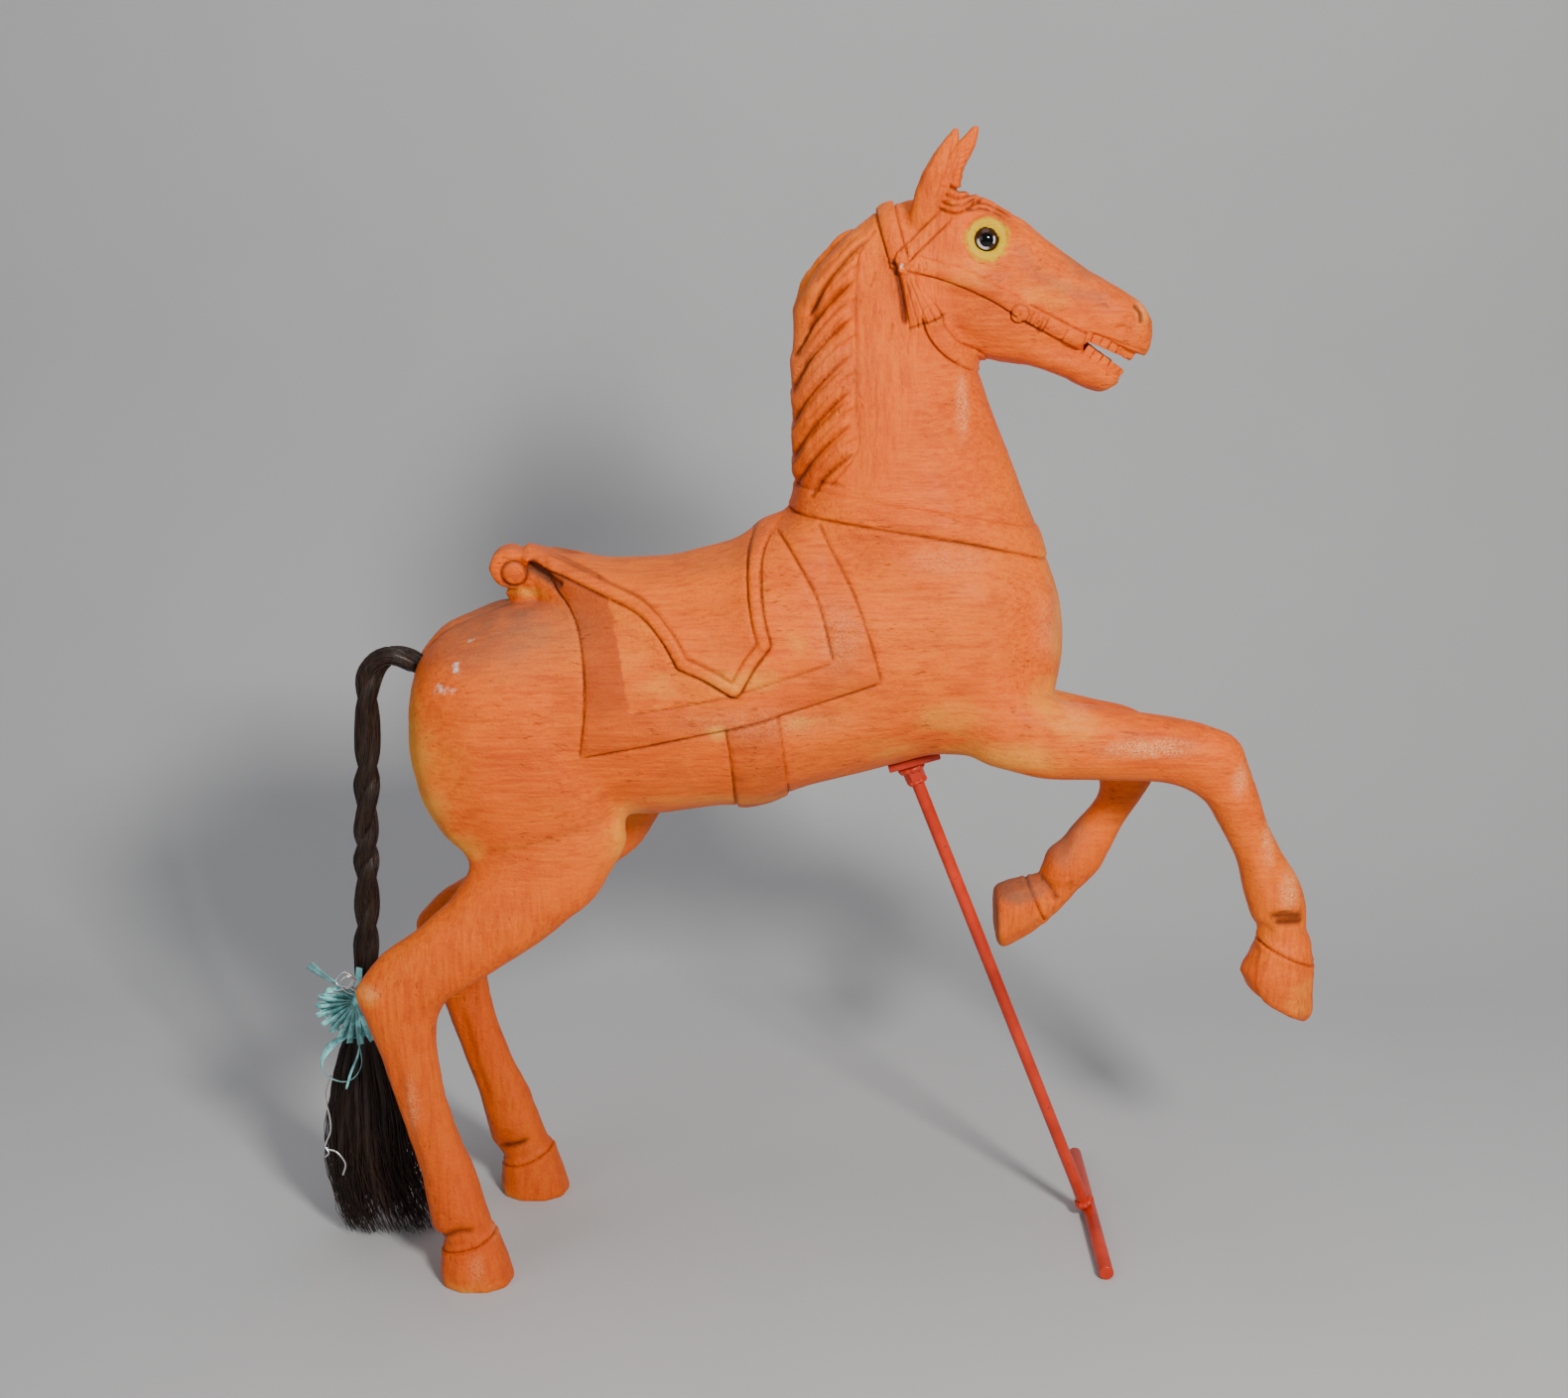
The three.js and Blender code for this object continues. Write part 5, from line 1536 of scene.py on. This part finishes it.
# %% Eyeballs
GLASS_BACK = 0.006  # how far behind the middle the glass is cut flat
glass_eyes = []
for side, node in ((-1, "eye_right"), (1, "eye_left")):
    low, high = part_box(node)
    middle = (low + high) / 2
    bpy.ops.object.select_all(action="DESELECT")
    bpy.ops.mesh.primitive_uv_sphere_add(segments=64, ring_count=40, radius=EYE_RADIUS / 1000,
                                         location=middle, rotation=(math.pi / 2, 0, 0))
    eye = bpy.context.active_object
    eye.name = f"glass_{node}"
    seat(eye)
    behind = middle - Vector((0, side * GLASS_BACK, 0))
    bpy.ops.object.mode_set(mode="EDIT")
    bpy.ops.mesh.select_all(action="SELECT")
    bpy.ops.mesh.bisect(plane_co=behind, plane_no=(0, side, 0), use_fill=True, clear_inner=True)
    bpy.ops.object.mode_set(mode="OBJECT")
    bpy.ops.object.shade_smooth()
    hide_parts(node)
    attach(eye, "root")
    glass_eyes.append((eye, middle))
    print(eye.name, "faces:", len(eye.data.polygons))

# %% [markdown]
# ## Steel prop
# A rod runs from a plate under the belly to a bar on the floor that keeps the horse from tipping
# over. The joints are welded and the whole is brushed with red gloss paint.

# %% Rod, plate and bar
ROD_TOP = place(152, 0, 606)
ROD_FOOT = place(383, 34, 13)
ROD_RADIUS = 0.0077
BAR_RADIUS = 0.0088
COLLAR_RADIUS = 0.0128
PLATE = (0.062, 0.052, 0.009)
BELLY_SLOPE = math.atan(0.29)
along_rod = (ROD_FOOT - ROD_TOP).normalized()


def rounded_edges(piece, width, segments=3):
    bevel = piece.modifiers.new("worn edge", "BEVEL")
    bevel.width = width
    bevel.segments = segments
    bevel.limit_method = "ANGLE"
    apply_all(piece)
    pick(piece)
    bpy.ops.object.shade_smooth_by_angle(angle=math.radians(50))


def round_bar(name, start, stop, radius, sides=48):
    way = Vector(stop) - Vector(start)
    bpy.ops.object.select_all(action="DESELECT")
    bpy.ops.mesh.primitive_cylinder_add(vertices=sides, radius=radius, depth=way.length,
                                        location=(Vector(start) + Vector(stop)) / 2,
                                        rotation=way.to_track_quat("Z", "Y").to_euler())
    piece = bpy.context.active_object
    piece.name = name
    seat(piece)
    return piece


rod = round_bar("rod", ROD_TOP, ROD_FOOT, ROD_RADIUS)
rounded_edges(rod, 0.001)
bar = round_bar("bar", place(388, -118, 8.9), place(388, 186, 8.9), BAR_RADIUS)
rounded_edges(bar, 0.0012)
collar = round_bar("collar", ROD_TOP - along_rod * 0.013, ROD_TOP + along_rod * 0.010, COLLAR_RADIUS, 6)
rounded_edges(collar, 0.0012)
bpy.ops.object.select_all(action="DESELECT")
bpy.ops.mesh.primitive_cube_add(size=1, location=place(152, 0, 624), rotation=(0, -BELLY_SLOPE, 0))
plate = bpy.context.active_object
plate.scale = PLATE
seat(plate)
rounded_edges(plate, 0.0016)


# %% Weld beads
def weld_bead(name, at, axis, radius, thickness, lumps, seed):
    """A ring of overlapping weld lumps."""
    bpy.ops.object.select_all(action="DESELECT")
    bpy.ops.mesh.primitive_torus_add(major_radius=radius, minor_radius=thickness, major_segments=72,
                                     minor_segments=16, location=at,
                                     rotation=axis.to_track_quat("Z", "Y").to_euler())
    bead = bpy.context.active_object
    bead.name = name
    seat(bead)
    points = points_of(bead)
    normals = normals_of(bead)
    centre = np.array(at)
    sideways_axis = np.array(axis.orthogonal().normalized())
    other = np.cross(np.array(axis), sideways_axis)
    angle = np.arctan2((points - centre) @ other, (points - centre) @ sideways_axis)
    ripple = thickness * (0.35 * np.abs(np.sin(lumps * angle / 2 + seed)) + 0.25 * np.sin(3 * angle + seed))
    move_points(bead, points + normals * ripple[:, None])
    bpy.ops.object.shade_smooth()
    return bead


beads = [  # place, direction, radius, thickness, lumps, start of the ripple
    weld_bead("bead at the plate", ROD_TOP + along_rod * -0.006, along_rod, 0.0118, 0.0036, 11, 0.4),
    weld_bead("bead at the collar", ROD_TOP + along_rod * 0.012, along_rod, 0.0088, 0.0028, 9, 1.7),
    weld_bead("bead at the bar", ROD_FOOT - along_rod * 0.0085, along_rod, 0.0082, 0.0034, 9, 2.6),
]
prop = join_into("red_prop", [rod, bar, collar, plate, *beads])
points = points_of(prop)
points[:, 2] = np.maximum(points[:, 2], 0.0)
move_points(prop, points)
print("prop faces:", len(prop.data.polygons))
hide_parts("prop_stand")
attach(prop, "root")

# %% [markdown]
# ## Horsehair
# Real hair is nearly black and brown where light comes through. Fine streaks down the lock and a
# moderate gloss give long glints.

# %% Hair
hair, n, shader = new_material("dark_horsehair", Specular_IOR_Level=0.36)
where = n.places()
strand = grain(n, n.stretched(where, (1, 1, 0.06)), 320.0, 0.4)
colour = n.mix(n.span(strand["Streaks"], 0.35, 0.7), (0.006, 0.0035, 0.0025, 1), (0.04, 0.018, 0.01, 1))
finish(n, shader, colour, n.lerp(strand["Streaks"], 0.5, 0.32), strand["Streaks"], 0.5, 0.0008)
tail.data.materials.append(hair)

# %% [markdown]
# ## Satin and silver
# The ribbon's threads run along it, so the sheen is drawn out across them. The strip's own UV map
# keeps the threads straight on every loop. Light and dark tones over the loops are a painted highlight
# and a painted shade, and pale streaks along the threads are a painted sheen.

# %% Satin
satin, n, shader = new_material("turquoise_satin", Specular_IOR_Level=0.5, Anisotropic=0.5,
                                Sheen_Weight=0.25, Sheen_Roughness=0.35)
along_ribbon = n.add("ShaderNodeUVMap", uv_map="ribbon").outputs[0]
weave_and_sheen = grain(n, n.stretched(along_ribbon, (1, 0.03, 1)), 900.0, 0.1)
# Painted highlight and painted shade: the loops lighter and darker in patches.
satin_light_and_shade = n.noise(n.places(), 75.0, 3)
colour = n.mix(n.span(satin_light_and_shade, 0.42, 0.6), (0.014, 0.20, 0.205, 1), (0.24, 0.82, 0.84, 1))
# Painted sheen: pale streaks along the threads.
colour = n.layer(colour, (0.5, 0.92, 0.94, 1), weave_and_sheen["Streaks"], 0.5)
finish(n, shader, colour, n.lerp(weave_and_sheen["Streaks"], 0.36, 0.24), weave_and_sheen["Streaks"], 0.35, 0.0004)
bow.data.materials.append(satin)

# %% Silver
silver, n, shader = new_material("silver_tinsel", Metallic=1.0)
worn_silver = n.noise(n.places(), 500.0, 3)
n.feed(shader.inputs["Base Color"], n.mix(worn_silver, (0.62, 0.60, 0.58, 1), (0.9, 0.9, 0.92, 1)))
n.feed(shader.inputs["Roughness"], n.lerp(worn_silver, 0.18, 0.4))
thread.data.materials.append(silver)

# %% [markdown]
# ## Glass
# Rings round the eye's middle: pupil, a pale crescent low on one side and a short one on the other,
# and a dark brown rim. A Mapping node brings the eye's own middle to nothing, so that the distance
# from it is the ring's radius.

# %% Eyes
for eye, centre in glass_eyes:
    glass, n, shader = new_material(f"{eye.name}_finish", Specular_IOR_Level=0.2, Coat_Weight=0.2,
                                    Coat_Roughness=0.02)
    to_middle = tuple(-c for c in centre)
    at = n.add("ShaderNodeMapping", {"Vector": n.places(), "Location": to_middle}).outputs[0]
    parts = n.add("ShaderNodeSeparateXYZ", {"Vector": at}).outputs
    squares = n.math("ADD", n.times(parts[0], parts[0]), n.times(parts[2], parts[2]))
    radius = n.math("SQRT", squares)
    across = n.math("SUBTRACT", n.times(parts[0], -0.62), n.times(parts[2], 0.78))
    pale_side = n.span(n.math("DIVIDE", across, radius), 0.45, 0.8)
    short_side = n.span(n.math("DIVIDE", parts[0], radius), 0.86, 0.95)
    in_band = n.times(n.span(radius, 0.0074, 0.0079), n.span(radius, 0.0106, 0.0100))
    in_thin = n.times(n.span(radius, 0.0074, 0.0078), n.span(radius, 0.0098, 0.0093))
    colour = n.mix(n.span(radius, 0.0072, 0.0080), (0.002, 0.003, 0.003, 1), (0.035, 0.012, 0.006, 1))
    clouded = n.mix(n.noise(n.places(), 260.0, 3), (0.5, 0.46, 0.5, 1), (0.9, 0.88, 0.86, 1))
    colour = n.mix(n.times(in_band, pale_side), colour, clouded)
    colour = n.mix(n.times(in_thin, short_side), colour, clouded)
    n.feed(shader.inputs["Base Color"], colour)
    n.feed(shader.inputs["Roughness"], n.lerp(n.noise(n.places(), 90.0, 3), 0.06, 0.14))
    eye.data.materials.append(glass)

# %% [markdown]
# ## Red gloss paint
# Brushed on thick: a little uneven in colour, with drawn brush marks along the rod, and a few chips
# down to dark steel.

# %% Paint
paint_red, n, shader = new_material("red_gloss", Specular_IOR_Level=0.25, Coat_Weight=0.2,
                                    Coat_Roughness=0.15)
where = n.places()
brush = grain(n, n.stretched(where, (1, 1, 0.12)), 160.0, 0.5)
tone = n.noise(where, 14.0, 4)
colour = n.mix(n.span(tone, 0.35, 0.65), (0.36, 0.015, 0.003, 1), (0.66, 0.035, 0.008, 1))
colour = n.layer(colour, (0.75, 0.07, 0.02, 1), brush["Streaks"], 0.3)
chips = n.times(n.span(n.noise(where, 120.0, 4, 0.6), 0.66, 0.7),
                n.span(n.noise(where, 11.0, 2), 0.45, 0.6))
colour = n.layer(colour, (0.05, 0.03, 0.025, 1), chips, 0.85)
rough = n.lerp(n.math("MAXIMUM", brush["Streaks"], chips), 0.26, 0.46)
finish(n, shader, colour, rough, n.math("SUBTRACT", brush["Streaks"], chips), 0.4, 0.0005)
prop.data.materials.append(paint_red)
print("materials:", [material.name for material in bpy.data.materials])

# %% [markdown]
# ## Studio
# A pale sweep of paper: the floor curves up behind the horse, so that no horizon shows. From behind,
# the sweep lets the view through. A large soft lamp stands in front on the right, a weaker and wider
# one on the left, and one hangs over the horse.

# %% Sweep
BACK_LINE = 1.5
WALL = 6
CURVE = 0.9


def pick_edges(piece, wanted):
    """Selects the edges whose two ends are both wanted."""
    for edge in piece.data.edges:
        edge.select = all(wanted(piece.data.vertices[i].co) for i in edge.vertices)


bpy.ops.object.select_all(action="DESELECT")
bpy.ops.mesh.primitive_plane_add(size=1, location=(0, -3.4, 0))
sweep = bpy.context.active_object
sweep.name = "sweep"
sweep.scale = (16, 10, 1)
seat(sweep)
bpy.ops.object.mode_set(mode="EDIT")
bpy.ops.mesh.select_mode(type="EDGE")
bpy.ops.mesh.select_all(action="DESELECT")
bpy.ops.object.mode_set(mode="OBJECT")
pick_edges(sweep, lambda at: at.y > BACK_LINE)
bpy.ops.object.mode_set(mode="EDIT")
bpy.ops.mesh.extrude_region_move(TRANSFORM_OT_translate={"value": (0, 0, WALL)})
bpy.ops.mesh.select_all(action="DESELECT")
bpy.ops.object.mode_set(mode="OBJECT")
pick_edges(sweep, lambda at: at.y > BACK_LINE and at.z < 0.1)
bpy.ops.object.mode_set(mode="EDIT")
bpy.ops.mesh.bevel(offset=CURVE, segments=24, affect="EDGES")
bpy.ops.object.mode_set(mode="OBJECT")
bpy.ops.object.shade_smooth()

# %% [markdown]
# ### Paper
# The Geometry node's Backfacing is 1 on the back of a face. It mixes in a clear shader, so that the
# paper doesn't hide the horse when it is looked at from the other side.

# %% Paper that is clear from behind
paper, n, shader = new_material("pale_paper", Specular_IOR_Level=0.2)
tone = n.noise(n.places(), 3.0, 4)
n.feed(shader.inputs["Base Color"], n.mix(tone, (0.46, 0.47, 0.49, 1), (0.50, 0.51, 0.53, 1)))
n.feed(shader.inputs["Roughness"], 0.9)
back = n.add("ShaderNodeNewGeometry").outputs["Backfacing"]
clear = n.add("ShaderNodeBsdfTransparent").outputs[0]
either = n.add("ShaderNodeMixShader", {0: back, 1: shader.outputs[0], 2: clear}).outputs[0]
n.feed(paper.node_tree.nodes["Material Output"].inputs["Surface"], either)
sweep.data.materials.append(paper)
print("the floor faces up:", sweep.data.polygons[0].normal.z > 0)

# %% [markdown]
# ### Lamps
# The key lamp is fairly small and near, which gives the carving its shadows. The fill and the top
# lamps are wide and weak, and a dim sky keeps the shadows open.

# %% Lamps
def soft_light(name, at, towards, size, watts, tint=(1, 1, 1)):
    light = bpy.data.lights.new(name, "AREA")
    light.size = size
    light.energy = watts
    light.color = tint
    lamp = bpy.data.objects.new(name, light)
    lamp.location = at
    lamp.rotation_euler = (Vector(towards) - Vector(at)).to_track_quat("-Z", "Y").to_euler()
    bpy.context.scene.collection.objects.link(lamp)
    return lamp


soft_light("key", (1.15, -2.75, 2.2), (0, 0, 0.75), 0.5, 132, (1, 0.96, 0.88))
soft_light("fill", (-2.3, -2.2, 1.6), (0, 0, 0.7), 2.0, 22)
soft_light("top", (0, -0.2, 3.4), (0, 0, 0.6), 2.0, 26)
world = bpy.data.worlds.new("studio")
bpy.context.scene.world = world
world.use_nodes = True
world.node_tree.nodes["Background"].inputs["Color"].default_value = (0.85, 0.87, 0.9, 1)
world.node_tree.nodes["Background"].inputs["Strength"].default_value = 0.17
